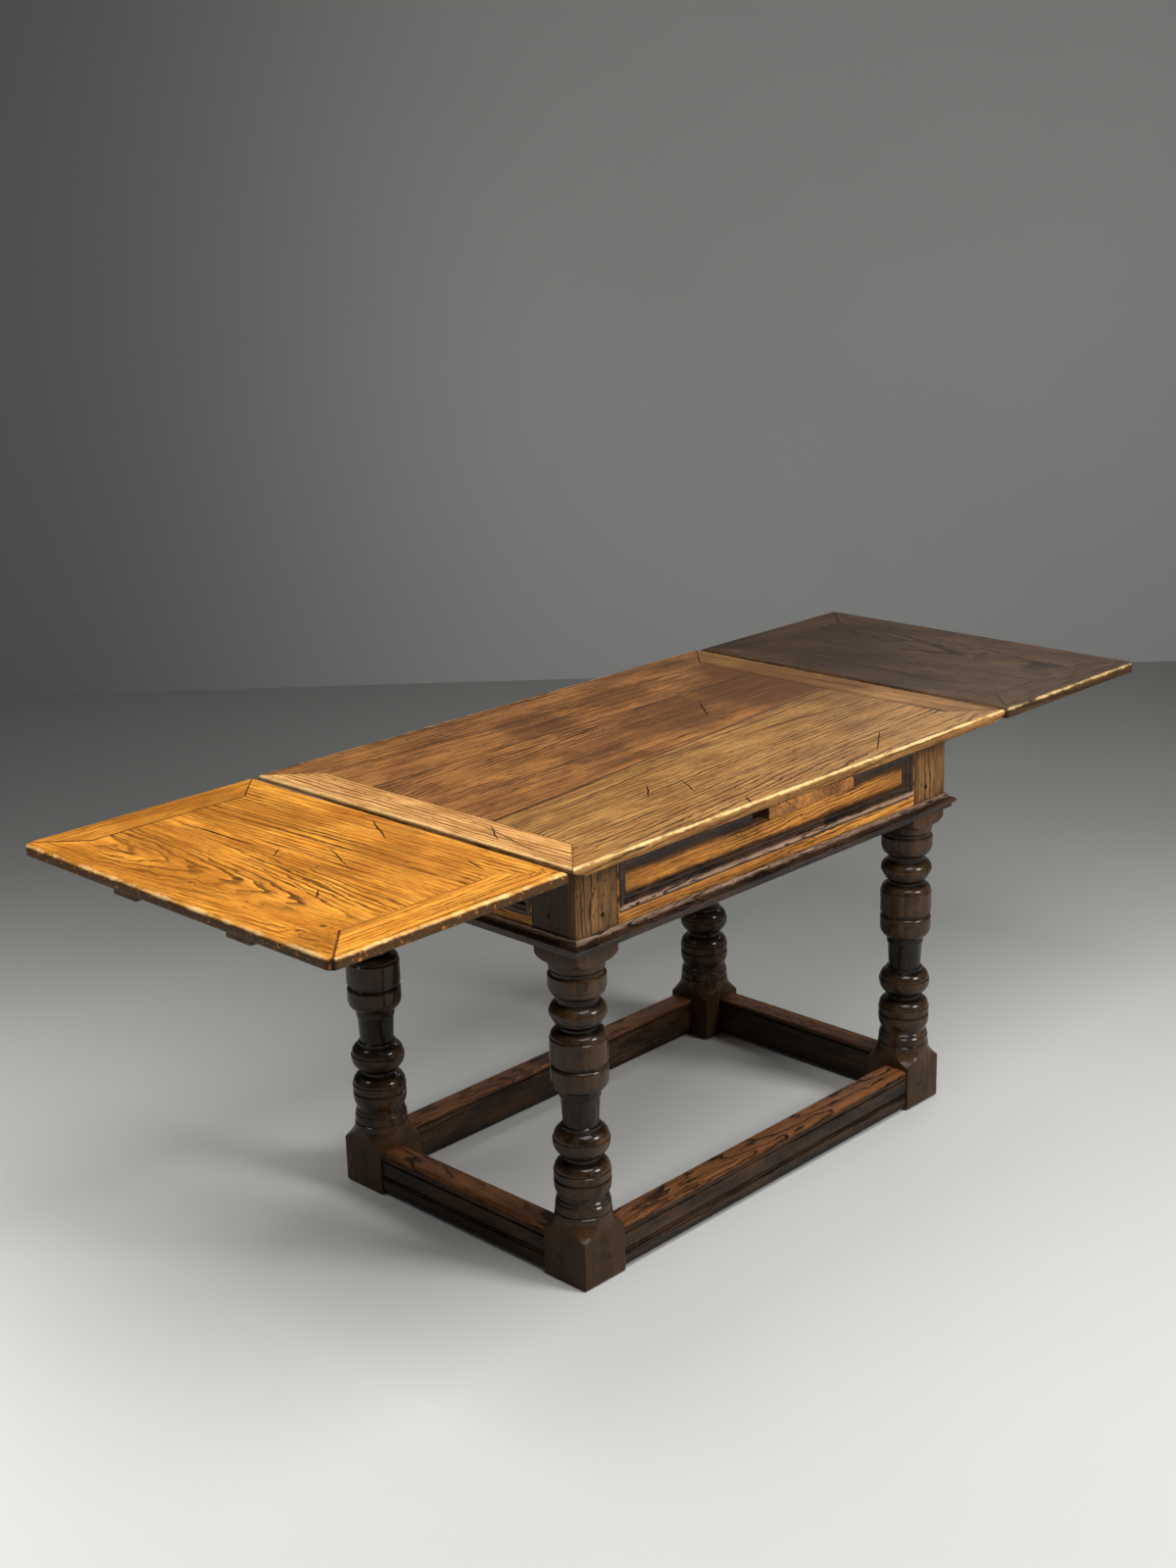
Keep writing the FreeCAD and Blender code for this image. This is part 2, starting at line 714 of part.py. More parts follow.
def bearer(label, yaw):
    """Cross rail under one edge of the bridge, notched for all four lopers."""
    body = body_of(label)
    half_long = s.frame_width / 2 - s.rail_thick + s.bearer_housing
    half_thick = s.bearer_thick / 2
    section = outline(body, label + "_face", "YZ_Plane",
                      [box_loop(-half_long, frame_top - s.bearer_height,
                                half_long, frame_top)])
    pad(body, label + "_board", section, s.bearer_thick, "Symmetric")
    own_floor = loper_under(half_thick - bearer_spread) - s.slide_clearance
    far_floor = loper_under(half_thick + bearer_spread) - s.slide_clearance
    pin_room = s.stop_pin_projection + s.stop_pin_clearance
    past = frame_top + s.overrun
    loops = []
    for middle in (-loper_outer_place, loper_inner_place):
        loops.append(box_loop(middle - notch_half, own_floor, middle + notch_half, past))
    notches = outline(body, label + "_own_notches", "YZ_Plane", loops)
    pocket_through(body, label + "_own_cut", notches)
    loops = []
    for middle in (loper_outer_place, -loper_inner_place):
        loops.append(box_loop(middle - notch_half, far_floor,
                              middle + half_loper + pin_room, past))
    notches = outline(body, label + "_far_notches", "YZ_Plane", loops)
    pocket_through(body, label + "_far_cut", notches)
    rounds = [(zero, -bridge_peg_spread, peg_hole), (zero, bridge_peg_spread, peg_hole)]
    holes = circles(body, label + "_peg_rounds", "XY_Plane", rounds, frame_top)
    pocket(body, label + "_peg_holes", holes, s.bridge_peg_bite)
    place(body, yaw, -bearer_spread if yaw == 0 else bearer_spread)


bearer("bridge_bearer_left", 0)
bearer("bridge_bearer_right", 180)

# The loose top: three planks with tapering joints between two mitred cleats.
joint_reach = half_top + s.overrun
field_half = half_top - s.top_cleat_width
field_depth = half_width - s.top_cleat_width
nose = s.table_height - s.top_nose_thick


def on_joint(left, right, x):
    return left + (right - left) * ((x + joint_reach) / (joint_reach * 2))


def edge_section(edge, inner, sign, low, high, upper):
    """Board section with a worn outer edge, as (across, up) nodes."""
    lower = s.edge_lower_round
    return [
        (edge, low + lower), (edge, high - upper, "u", edge + upper * sign),
        (edge + upper * sign, high), (inner, high), (inner, low),
        (edge + lower * sign, low, "u", edge + lower * sign)]


def nose_bevels(body, label):
    """Bevels the underside at both ends of the top, so that the leaves pass."""
    loops = []
    for end in (-1, 1):
        tip = half_top * end
        past = tip + s.overrun * end
        root = tip - s.top_nose_bevel * end
        loops.append([(past, nose), (tip, nose), (root, top_under),
                      (root, top_under - s.overrun), (past, top_under - s.overrun)])
    sketch = outline(body, label + "_nose_bevels", "XZ_Plane", loops)
    pocket_through(body, label + "_nose_cut", sketch)


def outer_plank(label, sign, joint_left, joint_right):
    body = body_of(label)
    edge = half_width * sign
    inner_most = joint_left
    if (joint_right.value - joint_left.value) * sign < 0:
        inner_most = joint_right
    reach = inner_most - s.overrun * sign
    section = edge_section(edge, reach, -sign, top_under, s.table_height,
                           s.edge_upper_round)
    profile = outline(body, label + "_section", "YZ_Plane", [section])
    pad(body, label + "_run", profile, top_length, "Symmetric")
    past = inner_most - s.overrun * (2 * sign)
    loops = [[(-joint_reach, joint_left), (joint_reach, joint_right),
              (joint_reach, past), (-joint_reach, past)]]
    taper = outline(body, label + "_joint", "XY_Plane", loops)
    pocket_through(body, label + "_joint_cut", taper)
    loops = []
    for end in (-1, 1):
        tip = half_top * end
        beyond = tip + s.overrun * end
        loops.append([(beyond, edge + s.overrun * sign), (field_half * end, field_depth * sign),
                      (field_half * end, past), (beyond, past)])
    mitres = outline(body, label + "_mitres", "XY_Plane", loops)
    pocket_through(body, label + "_mitre_cut", mitres)
    nose_bevels(body, label)
    hole = circles(body, label + "_guide_round", "XY_Plane",
                   [(zero, guide_peg_spread * sign,
                     s.guide_peg_diameter + s.fit_clearance * 2)], top_under)
    pocket(body, label + "_guide_hole", hole, s.guide_peg_bite, True)
    place(body, 0)


outer_plank("top_plank_front", -1, s.front_joint_left, s.front_joint_right)
outer_plank("top_plank_back", 1, s.back_joint_left, s.back_joint_right)

middle = body_of("top_plank_middle")
corners = [
    (-field_half, on_joint(s.front_joint_left, s.front_joint_right, -field_half)),
    (field_half, on_joint(s.front_joint_left, s.front_joint_right, field_half)),
    (field_half, on_joint(s.back_joint_left, s.back_joint_right, field_half)),
    (-field_half, on_joint(s.back_joint_left, s.back_joint_right, -field_half))]
plan = outline(middle, "top_plank_middle_plan", "XY_Plane", [corners], top_under)
pad(middle, "top_plank_middle_board", plan, s.board_thick)
place(middle, 0)


def top_cleat(label, yaw):
    body = body_of(label)
    tip = -half_top
    upper = s.edge_upper_round
    section = [
        (tip, nose), (tip, s.table_height - upper, "u", tip + upper),
        (tip + upper, s.table_height), (-field_half, s.table_height),
        (-field_half, top_under), (tip + s.top_nose_bevel, top_under)]
    profile = outline(body, label + "_section", "XZ_Plane", [section])
    pad(body, label + "_run", profile, top_width, "Symmetric")
    loops = []
    for sign in (-1, 1):
        past = (half_width + s.overrun) * sign
        loops.append([(tip - s.overrun, past), (-field_half + s.overrun,
                                                (field_depth - s.overrun) * sign),
                      (-field_half + s.overrun, past)])
    mitres = outline(body, label + "_mitres", "XY_Plane", loops)
    pocket_through(body, label + "_mitre_cut", mitres)
    place(body, yaw)


top_cleat("top_cleat_left", 0)
top_cleat("top_cleat_right", 180)


def guide_peg(label, sign):
    body = body_of(label)
    head = circles(body, label + "_round", "XY_Plane",
                   [(zero, guide_peg_spread * sign, s.guide_peg_diameter)],
                   top_under + s.guide_peg_bite)
    pad(body, label + "_run", head, s.guide_peg_bite + s.guide_peg_drop, back=True)
    place(body, 0)


guide_peg("guide_peg_front", -1)
guide_peg("guide_peg_back", 1)

# The leaves: two boards across the table between mitred cleats, on two lopers.
leaf_joint = leaf_inner - s.leaf_inner_board
leaf_field = half_width - s.leaf_cleat_width
leaf_field_inner = leaf_inner - s.leaf_cleat_width
leaf_field_outer = leaf_outer + s.leaf_cleat_width


def corner_loop(sign):
    """Waste outside the rounded outer corner of a leaf, in plan."""
    edge = half_width * sign
    radius = s.leaf_corner_round
    past_x = leaf_outer - s.overrun
    past_y = edge + s.overrun * sign
    return [
        (leaf_outer, edge - radius * sign, "u", leaf_outer + radius),
        (leaf_outer + radius, edge), (leaf_outer + radius, past_y),
        (past_x, past_y), (past_x, edge - radius * sign)]


def inner_arris(body, label):
    """Rounds the upper inner arris that passes under the end of the top."""
    radius = s.leaf_arris_round
    past_x = leaf_inner + s.overrun
    past_z = leaf_top + s.overrun
    loop = [(leaf_inner, leaf_top - radius, "u", leaf_inner - radius),
            (leaf_inner - radius, leaf_top), (leaf_inner - radius, past_z),
            (past_x, past_z), (past_x, leaf_top - radius)]
    sketch = outline(body, label + "_inner_arris", "XZ_Plane", [loop])
    pocket_through(body, label + "_arris_cut", sketch)


def leaf_board(label, yaw, is_outer):
    body = body_of(label)
    if is_outer:
        section = edge_section(leaf_outer, leaf_joint, 1, leaf_under, leaf_top,
                               s.leaf_edge_round)
    else:
        lower = s.edge_lower_round
        section = [
            (leaf_joint, leaf_under), (leaf_joint, leaf_top), (leaf_inner, leaf_top),
            (leaf_inner, leaf_under + lower, "u", leaf_inner - lower),
            (leaf_inner - lower, leaf_under)]
    profile = outline(body, label + "_section", "XZ_Plane", [section])
    pad(body, label + "_run", profile, top_width, "Symmetric")
    loops = []
    for sign in (-1, 1):
        past = (half_width + s.overrun) * sign
        if is_outer:
            tip = leaf_outer - s.overrun
            root = leaf_field_outer
            joint = leaf_joint + s.overrun
        else:
            tip = leaf_inner + s.overrun
            root = leaf_field_inner
            joint = leaf_joint - s.overrun
        loops.append([(tip, past), (root, leaf_field * sign),
                      (joint, leaf_field * sign), (joint, past)])
    mitres = outline(body, label + "_mitres", "XY_Plane", loops)
    pocket_through(body, label + "_mitre_cut", mitres)
    if is_outer:
        corners = outline(body, label + "_corners", "XY_Plane",
                          [corner_loop(-1), corner_loop(1)])
        pocket_through(body, label + "_corner_cut", corners)
    else:
        inner_arris(body, label)
    place(body, yaw)


def leaf_cleat(label, yaw, sign):
    body = body_of(label)
    edge = half_width * sign
    section = edge_section(edge, leaf_field * sign, -sign, leaf_under, leaf_top,
                           s.leaf_edge_round)
    profile = outline(body, label + "_section", "YZ_Plane", [section], leaf_outer)
    pad(body, label + "_run", profile, leaf_length)
    past = (leaf_field - s.overrun) * sign
    beyond = (half_width + s.overrun) * sign
    loops = [
        [(leaf_outer - s.overrun, beyond), (leaf_field_outer + s.overrun, past),
         (leaf_outer - s.overrun, past)],
        [(leaf_inner + s.overrun, beyond), (leaf_field_inner - s.overrun, past),
         (leaf_inner + s.overrun, past)]]
    mitres = outline(body, label + "_mitres", "XY_Plane", loops)
    pocket_through(body, label + "_mitre_cut", mitres)
    corners = outline(body, label + "_corner", "XY_Plane", [corner_loop(sign)])
    pocket_through(body, label + "_corner_cut", corners)
    inner_arris(body, label)
    place(body, yaw)


stop_pin_place = (s.bearer_thick / 2 - bearer_spread + s.stop_pin_diameter / 2
                  + s.slide_clearance)
tail_end = s.frame_length / 2 - s.rail_thick - s.loper_tail_clearance - draw
tail_top_at_pin = leaf_under - loper_step - slope * (stop_pin_place - leaf_inner)
stop_pin_level = (tail_top_at_pin + loper_under(stop_pin_place)) / 2


def loper(label, yaw, y_place):
    body = body_of(label)
    tip = leaf_outer + s.loper_tip_inset
    section = [
        (tip, leaf_under), (tip, loper_under(tip)),
        (tail_end, loper_under(tail_end)),
        (tail_end, leaf_under - loper_step - slope * (tail_end - leaf_inner)),
        (leaf_inner, leaf_under - loper_step), (leaf_inner, leaf_under)]
    profile = outline(body, label + "_side", "XZ_Plane", [section])
    pad(body, label + "_bar", profile, s.loper_width, "Symmetric")
    hole = circles(body, label + "_pin_round", "XZ_Plane",
                   [(stop_pin_place, stop_pin_level,
                     s.stop_pin_diameter + s.fit_clearance * 2)])
    pocket_through(body, label + "_pin_hole", hole)
    place(body, yaw, zero, y_place if yaw == 0 else -y_place)


def stop_pin(label, yaw, y_place):
    body = body_of(label)
    head = circles(body, label + "_round", "XZ_Plane",
                   [(stop_pin_place, stop_pin_level, s.stop_pin_diameter)], -half_loper)
    pad(body, label + "_run", head, s.loper_width + s.stop_pin_projection)
    place(body, yaw, zero, y_place if yaw == 0 else -y_place)


def leaf(name, yaw, near, far):
    leaf_board(name + "_leaf_board_inner", yaw, False)
    leaf_board(name + "_leaf_board_outer", yaw, True)
    leaf_cleat(name + "_leaf_cleat_" + near, yaw, -1)
    leaf_cleat(name + "_leaf_cleat_" + far, yaw, 1)
    loper(name + "_loper_" + near, yaw, -loper_outer_place)
    loper(name + "_loper_" + far, yaw, loper_inner_place)
    stop_pin(name + "_stop_pin_" + near, yaw, -loper_outer_place)
    stop_pin(name + "_stop_pin_" + far, yaw, loper_inner_place)


leaf("left", 0, "front", "back")
leaf("right", 180, "back", "front")

doc.recompute()

for thing in doc.Objects:
    if "Invalid" in thing.State or "Error" in thing.State:
        raise RuntimeError("%s did not build: %s" % (thing.Label, thing.State))
for feature in cuts:
    before = feature.BaseFeature.Shape.Volume
    if not feature.Shape.Volume < before:
        raise RuntimeError("%s cuts nothing" % feature.Label)
for body in nodes_out:
    if body.Shape.isNull() or not body.Shape.isValid():
        raise RuntimeError("%s has no valid shape" % body.Label)
for body in nodes_out:
    body.Shape.exportStep("parts/%s.step" % body.Label)
print("draw %.1f rise %.1f slope %.5f" % (draw.value, rise.value, slope.value))
print("%d pieces written" % len(nodes_out))
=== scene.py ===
import json
import math
import random

import bmesh
import bpy
from bpy.props import FloatProperty, FloatVectorProperty, IntProperty, PointerProperty
from mathutils import Euler, Matrix, Vector

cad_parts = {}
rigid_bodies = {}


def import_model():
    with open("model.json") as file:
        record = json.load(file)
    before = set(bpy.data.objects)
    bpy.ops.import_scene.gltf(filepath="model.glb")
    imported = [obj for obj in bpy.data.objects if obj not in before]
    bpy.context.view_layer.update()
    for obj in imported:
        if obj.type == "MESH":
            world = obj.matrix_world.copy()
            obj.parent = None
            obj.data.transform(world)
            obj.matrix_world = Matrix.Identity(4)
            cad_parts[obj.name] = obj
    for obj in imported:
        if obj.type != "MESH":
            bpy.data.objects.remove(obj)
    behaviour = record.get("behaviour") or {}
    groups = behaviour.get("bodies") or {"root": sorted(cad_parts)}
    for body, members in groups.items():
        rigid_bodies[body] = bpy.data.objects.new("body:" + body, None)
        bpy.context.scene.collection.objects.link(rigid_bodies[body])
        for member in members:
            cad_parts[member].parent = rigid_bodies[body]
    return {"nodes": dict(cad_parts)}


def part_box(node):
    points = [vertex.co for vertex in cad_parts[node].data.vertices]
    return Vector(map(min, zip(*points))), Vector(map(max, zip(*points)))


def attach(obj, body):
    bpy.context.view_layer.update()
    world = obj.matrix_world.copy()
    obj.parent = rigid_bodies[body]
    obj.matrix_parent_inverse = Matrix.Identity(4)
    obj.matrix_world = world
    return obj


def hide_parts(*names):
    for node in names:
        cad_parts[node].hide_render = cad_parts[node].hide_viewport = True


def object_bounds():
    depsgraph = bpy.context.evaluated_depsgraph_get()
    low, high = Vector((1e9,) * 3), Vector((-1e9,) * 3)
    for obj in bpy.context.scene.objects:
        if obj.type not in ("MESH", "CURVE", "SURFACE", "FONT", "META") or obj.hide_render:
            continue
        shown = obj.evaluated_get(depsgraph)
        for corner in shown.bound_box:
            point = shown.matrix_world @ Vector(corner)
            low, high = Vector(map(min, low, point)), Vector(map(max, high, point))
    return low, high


bl_info = {
    "name": "Draw-leaf oak table",
    "version": (1, 0, 0),
    "blender": (4, 5, 0),
    "location": "3D View > Sidebar > Table",
    "description": "Dresses the oak draw-leaf table and its studio stage",
    "category": "Object",
}

for leftover in list(bpy.data.objects):
    bpy.data.objects.remove(leftover)
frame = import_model()
CAD_BOX = [list(corner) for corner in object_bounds()]

SIDES = ("front", "left", "back", "right")
# Axis along each side's rails, and each side's turn from the front.
RUN = {"front": "X", "left": "Y", "back": "X", "right": "Y"}
SIDE_TURN = {"front": 0.0, "right": math.pi / 2, "back": math.pi, "left": -math.pi / 2}
LEGS = ("leg_front_left", "leg_front_right", "leg_back_right", "leg_back_left")
# Angles in degrees past which an edge stays a sharp crease.
BOARD_CREASE = 50.0
TURNED_CREASE = 32.0
PEG_CREASE = 20.0


def shade(red, green, blue):
    """Linear colour from the usual 0 to 255 values."""
    def channel(value):
        value /= 255.0
        return value / 12.92 if value <= 0.04045 else ((value + 0.055) / 1.055) ** 2.4
    return (channel(red), channel(green), channel(blue))


def colour(title, words, red, green, blue):
    return FloatVectorProperty(name=title, description=words, subtype="COLOR", size=3,
                               min=0.0, max=1.0, default=shade(red, green, blue))


def length(title, words, metres):
    return FloatProperty(name=title, description=words, default=metres, min=0.0,
                         unit="LENGTH", precision=4)


def lamp_power(title, words, watts):
    return FloatProperty(name=title, description=words, default=watts, min=0.0, unit="POWER")


def angle(title, words, degrees):
    return FloatProperty(name=title, description=words, default=math.radians(degrees),
                         subtype="ANGLE")


def darker(tone, share):
    return tuple(share * value for value in tone)


class TableFinish(bpy.types.PropertyGroup):
    top_light: colour("Top, light", "Late wood of the top", 176, 129, 71)
    top_mid: colour("Top, middle", "Body of the top's wood", 129, 86, 43)
    top_dark: colour("Top, dark", "Stains and pores of the top", 40, 24, 13)
    core_light: colour("Middle planks, light", "Late wood of the middle planks", 172, 116, 62)
    core_mid: colour("Middle planks, middle", "Body of the middle planks", 112, 70, 36)
    core_dark: colour("Middle planks, dark", "Stains of the middle planks", 34, 20, 12)
    cleat_light: colour("Left cleat, light", "Late wood of the top's left cleat", 228, 172, 102)
    cleat_mid: colour("Left cleat, middle", "Body of the top's left cleat", 176, 122, 66)
    cleat_dark: colour("Left cleat, dark", "Pores of the top's left cleat", 92, 60, 32)
    # The left leaf's palette is far lighter than the right leaf's: its own wood tone with painted
    # sheen in it.
    left_light: colour("Left leaf, light", "Late wood of the left leaf", 226, 154, 56)
    left_mid: colour("Left leaf, middle", "Body of the left leaf's wood", 178, 107, 30)
    left_dark: colour("Left leaf, dark", "Grain lines of the left leaf", 38, 19, 6)
    right_light: colour("Right leaf, light", "Late wood of the right leaf", 90, 64, 39)
    right_mid: colour("Right leaf, middle", "Body of the right leaf's wood", 60, 43, 28)
    right_dark: colour("Right leaf, dark", "Grain lines of the right leaf", 38, 26, 17)
    frieze_light: colour("Frieze, light", "Rubbed middle of the frieze", 218, 148, 66)
    frieze_mid: colour("Frieze, middle", "Body of the frieze's wood", 156, 98, 40)
    frieze_dark: colour("Frieze, dark", "Grain lines of the frieze", 30, 18, 10)
    frame_light: colour("Frame, light", "Rubbed crests of legs and stretchers", 70, 48, 28)
    frame_mid: colour("Frame, middle", "Body of the frame's wood", 17, 12, 7)
    frame_dark: colour("Frame, dark", "Grooves and pores of the frame", 6, 4, 3)
    moulding_light: colour("Moulding, light", "Rubbed crests of the mouldings", 70, 50, 38)
    moulding_mid: colour("Moulding, middle", "Body of the mouldings", 28, 20, 15)
    moulding_dark: colour("Moulding, dark", "Quirks of the mouldings", 7, 5, 4)
    inner_light: colour("Inner wood, light", "Late wood of unfinished pieces", 112, 84, 56)
    inner_mid: colour("Inner wood, middle", "Body of unfinished pieces", 84, 60, 38)
    inner_dark: colour("Inner wood, dark", "Pores of unfinished pieces", 40, 27, 17)
    # Rubbed arris of the top and leaves, brightened also as a painted highlight.
    arris_wear_and_highlight: colour("Worn edge", "Rubbed arris of the top and leaves", 236, 204, 140)
    # Darker speckled tone of the edge faces below the upper face.
    edge_face: colour("Edge face", "Handled edges of the top and leaves", 56, 39, 24)
    # Painted light on the outer face of each post's upper block; the other faces stay dark.
    post_painted_light: colour("Post, worn", "Rubbed faces of the posts", 172, 126, 74)
    # Rubbed tops of the stretchers, lightened also as painted light from above.
    stretcher_worn: colour("Stretcher, worn", "Rubbed tops of the stretchers", 122, 78, 46)
    # Painted highlights: glint lines along the crests of the panel and the base mouldings.
    panel_painted_glint: colour("Panel moulding, worn", "Rubbed crest of the panel mouldings", 182, 148, 120)
    base_painted_glint: colour("Base moulding, worn", "Rubbed crest of the base mouldings", 168, 136, 112)


class TableWear(bpy.types.PropertyGroup):
    corner_round: length("Corner round", "Rounding of the leaves' corners in plan", 0.014)
    board_arris: length("Board arris", "Easing of the boards of the top and leaves", 0.0013)
    frieze_arris: length("Frieze arris", "Easing of the frieze rails", 0.0006)
    moulding_arris: length("Moulding arris", "Easing of the base mouldings", 0.0008)
    stretcher_arris: length("Stretcher arris", "Easing of the stretchers", 0.0022)
    bridge_arris: length("Bridge arris", "Easing of the bridge", 0.0015)
    bearer_arris: length("Bearer arris", "Easing of the bridge's bearers", 0.001)
    loper_arris: length("Loper arris", "Easing of the lopers", 0.0012)
    post_arris: length("Post arris", "Easing of the square blocks of the legs", 0.003)
    foot_arris: length("Foot arris", "Worn edges under the feet", 0.0062)
    peg_arris: length("Peg arris", "Easing of the pegs' heads", 0.0006)
    peg_radius: length("Peg radius", "Radius of the pegs of the frame's joints", 0.0045)
    ring_width: length("Ring width", "Width of a growth ring", 0.0042)
    crack_share: FloatProperty(name="Crack width", description="Share of each split's width",
                               default=1.9, min=0.1, max=5.0)
    turning_steps: IntProperty(name="Turning steps", description="Facets round a leg",
                               default=72, min=12, max=160)


class TableStage(bpy.types.PropertyGroup):
    floor: colour("Floor", "Plain pale floor", 188, 188, 184)
    scuff: colour("Scuffs", "Scuff marks on the floor", 150, 150, 146)
    wall: colour("Wall", "Backdrop", 162, 162, 160)
    lens: FloatProperty(name="Lens", description="Focal length in mm on a 36 mm wide sensor",
                        default=65.81, min=10.0, max=300.0, unit="CAMERA")
    azimuth: angle("Azimuth", "Camera round the table", -45.75)
    elevation: angle("Elevation", "Camera above the level", 17.25)
    roll: angle("Roll", "Camera turned about its view", -1.51)
    eye: FloatVectorProperty(name="Camera place", description="Where the camera stands",
                             default=(-2.65293, -2.44289, 1.80354), subtype="TRANSLATION")
    overhead: lamp_power("Overhead light", "Softbox above", 70.0)
    key: lamp_power("Key light", "Panel in front at the right", 108.0)
    rim: lamp_power("Rim light", "Panel beyond the right end", 13.0)
    fill: lamp_power("Floor light", "Narrow panel over the left floor", 36.0)
    world: FloatProperty(name="Room light", description="Even light of the room", default=0.10)


def finish():
    return bpy.context.scene.table_finish


def wear():
    return bpy.context.scene.table_wear


# Node graphs.


class Graph:
    """A material's node tree, built by short calls that return sockets."""

    def __init__(self, name):
        self.material = bpy.data.materials.new(name)
        self.material.use_nodes = True
        self.tree = self.material.node_tree
        self.tree.nodes.clear()
        self.output = self.tree.nodes.new("ShaderNodeOutputMaterial")
        self.shader = self.tree.nodes.new("ShaderNodeBsdfPrincipled")
        self.feed(self.output.inputs["Surface"], self.shader.outputs["BSDF"])
        self.place = self.add("ShaderNodeTexCoord", output="Object")

    def feed(self, target, value):
        if isinstance(value, bpy.types.NodeSocket):
            self.tree.links.new(value, target)
        else:
            target.default_value = value

    def add(self, kind, inputs=None, output=0, **settings):
        """New node with its settings and its inputs by number or name; gives one output."""
        made = self.tree.nodes.new(kind)
        for key, value in settings.items():
            setattr(made, key, value)
        for key, value in (inputs or {}).items():
            self.feed(made.inputs[key], value)
        return made.outputs[output]

    def give(self, name, value):
        self.feed(self.shader.inputs[name], value)

    def math(self, operation, *values, clamp=False):
        return self.add("ShaderNodeMath", dict(enumerate(values)), operation=operation,
                        use_clamp=clamp)

    def vector(self, operation, *values, output=0):
        return self.add("ShaderNodeVectorMath", dict(enumerate(values)), output,
                        operation=operation)

    def most(self, masks):
        """Largest of several masks."""
        total = masks[0]
        for mask in masks[1:]:
            total = self.math("MAXIMUM", total, mask)
        return total

    def vary(self, base, noise, amount):
        """Value moved up and down by a noise about its middle."""
        return self.math("MULTIPLY_ADD", self.math("SUBTRACT", noise, 0.5), amount, base)

    def mapping(self, vector, place=(0, 0, 0), turn=(0, 0, 0), scale=(1, 1, 1)):
        return self.add("ShaderNodeMapping", {"Vector": vector, "Location": place,
                                              "Rotation": turn, "Scale": scale},
                        vector_type="POINT")

    def noise(self, vector, scale, seed, detail=2.0, rough=0.5, colour=False):
        inputs = {"Vector": self.mapping(vector, scale=scale), "W": seed, "Scale": 1.0,
                  "Detail": detail, "Roughness": rough}
        return self.add("ShaderNodeTexNoise", inputs, "Color" if colour else "Fac",
                        noise_dimensions="4D")

    def wander(self, vector, scale, seed, amount):
        """Noise about zero, across the grain only."""
        noise = self.noise(vector, scale, seed, colour=True)
        centred = self.vector("SUBTRACT", noise, (0.5, 0.5, 0.5))
        return self.vector("MULTIPLY", centred, (0.0, amount, amount))

    def ramp(self, factor, stops):
        shown = self.add("ShaderNodeValToRGB", {0: factor})
        elements = shown.node.color_ramp.elements
        while len(elements) < len(stops):
            elements.new(0.5)
        for element, (at, value) in zip(elements, stops):
            element.position = at
            element.color = (value, value, value, 1)
        return shown

    def step(self, value, low, high):
        """Smooth rise from 0 to 1 between low and high."""
        return self.add("ShaderNodeMapRange", {"Value": value, "From Min": low, "From Max": high},
                        interpolation_type="SMOOTHSTEP")

    def mix(self, factor, first, second, share=None, blend="MIX"):
        """First colour turned to the second by a factor, or by a share of it."""
        if share is not None:
            factor = self.math("MULTIPLY", factor, share)
        tones = [tone if isinstance(tone, bpy.types.NodeSocket) else (*tone[:3], 1.0)
                 for tone in (first, second)]
        return self.add("ShaderNodeMix", {0: factor, 6: tones[0], 7: tones[1]}, 2,
                        data_type="RGBA", blend_type=blend)

    def split(self, vector):
        return self.add("ShaderNodeSeparateXYZ", {0: vector}).node.outputs

    def bump(self, height, distance, strength, below=None):
        inputs = {"Strength": strength, "Distance": distance, "Height": height}
        if below is not None:
            inputs["Normal"] = below
        return self.add("ShaderNodeBump", inputs)


GRAIN_TURN = {"X": (0, 0, 0), "Y": (0, 0, -math.pi / 2), "Z": (0, math.pi / 2, 0)}
# Places through one growth ring, with the share of early wood there.
EARLY_WOOD = ((0.0, 1.0), (0.15, 0.95), (0.32, 0.25), (0.6, 0.04), (0.94, 0.0), (1.0, 1.0))
SEAM_REACH = 0.0030
HOLE_REACH = 0.0034
# Height over which an edge face darkens, and the rubbed arris with its painted highlight from its
# limit to its middle.
EDGE_FADE = 0.004
ARRIS_LIMIT = 0.0054
ARRIS_MIDDLE = 0.0012
# Wax on plain wood, its roughness, the wood's own shine, and the fade of a leg's wax.
PLAIN_WAX = 0.05
WAX_ROUGHNESS = 0.08
WOOD_SHINE = 0.08
WAX_FADE = 0.03


def crack_mask(graph, crack, seed):
    """Wavering split from one point to another on the upper face."""
    x0, y0, x1, y1, width = crack
    width *= wear().crack_share
    turn = math.atan2(y1 - y0, x1 - x0)
    span = math.hypot(x1 - x0, y1 - y0)
    shift = -(Matrix.Rotation(-turn, 3, "Z") @ Vector((x0, y0, 0)))
    along, across, _ = graph.split(graph.mapping(graph.place, shift, (0, 0, -turn)))
    waver = graph.noise(graph.place, (26, 26, 0), seed, 3.0)
    across = graph.vary(across, waver, 0.012)
    share = graph.math("DIVIDE", along, span)
    inside = graph.math("MULTIPLY", share, graph.math("SUBTRACT", 1.0, share))
    half = graph.math("MULTIPLY", graph.math("MULTIPLY", inside, 4.0, clamp=True), width)
    depth = graph.math("SUBTRACT", half, graph.math("ABSOLUTE", across))
    return graph.math("DIVIDE", depth, width * 0.6, clamp=True)


def edge_mask(graph, edges, ragged, seed):
    """Nearness to straight edges, each an axis, a place and a reach, made ragged."""
    parts = graph.split(graph.place)
    masks = []
    for axis, place, reach in edges:
        apart = graph.math("ABSOLUTE", graph.math("SUBTRACT", parts[axis], place))
        masks.append(graph.math("SUBTRACT", 1.0, graph.math("DIVIDE", apart, reach), clamp=True))
    rough = graph.noise(graph.place, (38, 38, 38), seed + 3.1, 4.0, 0.6)
    return graph.step(graph.vary(graph.most(masks), rough, ragged), 0.25, 0.9)


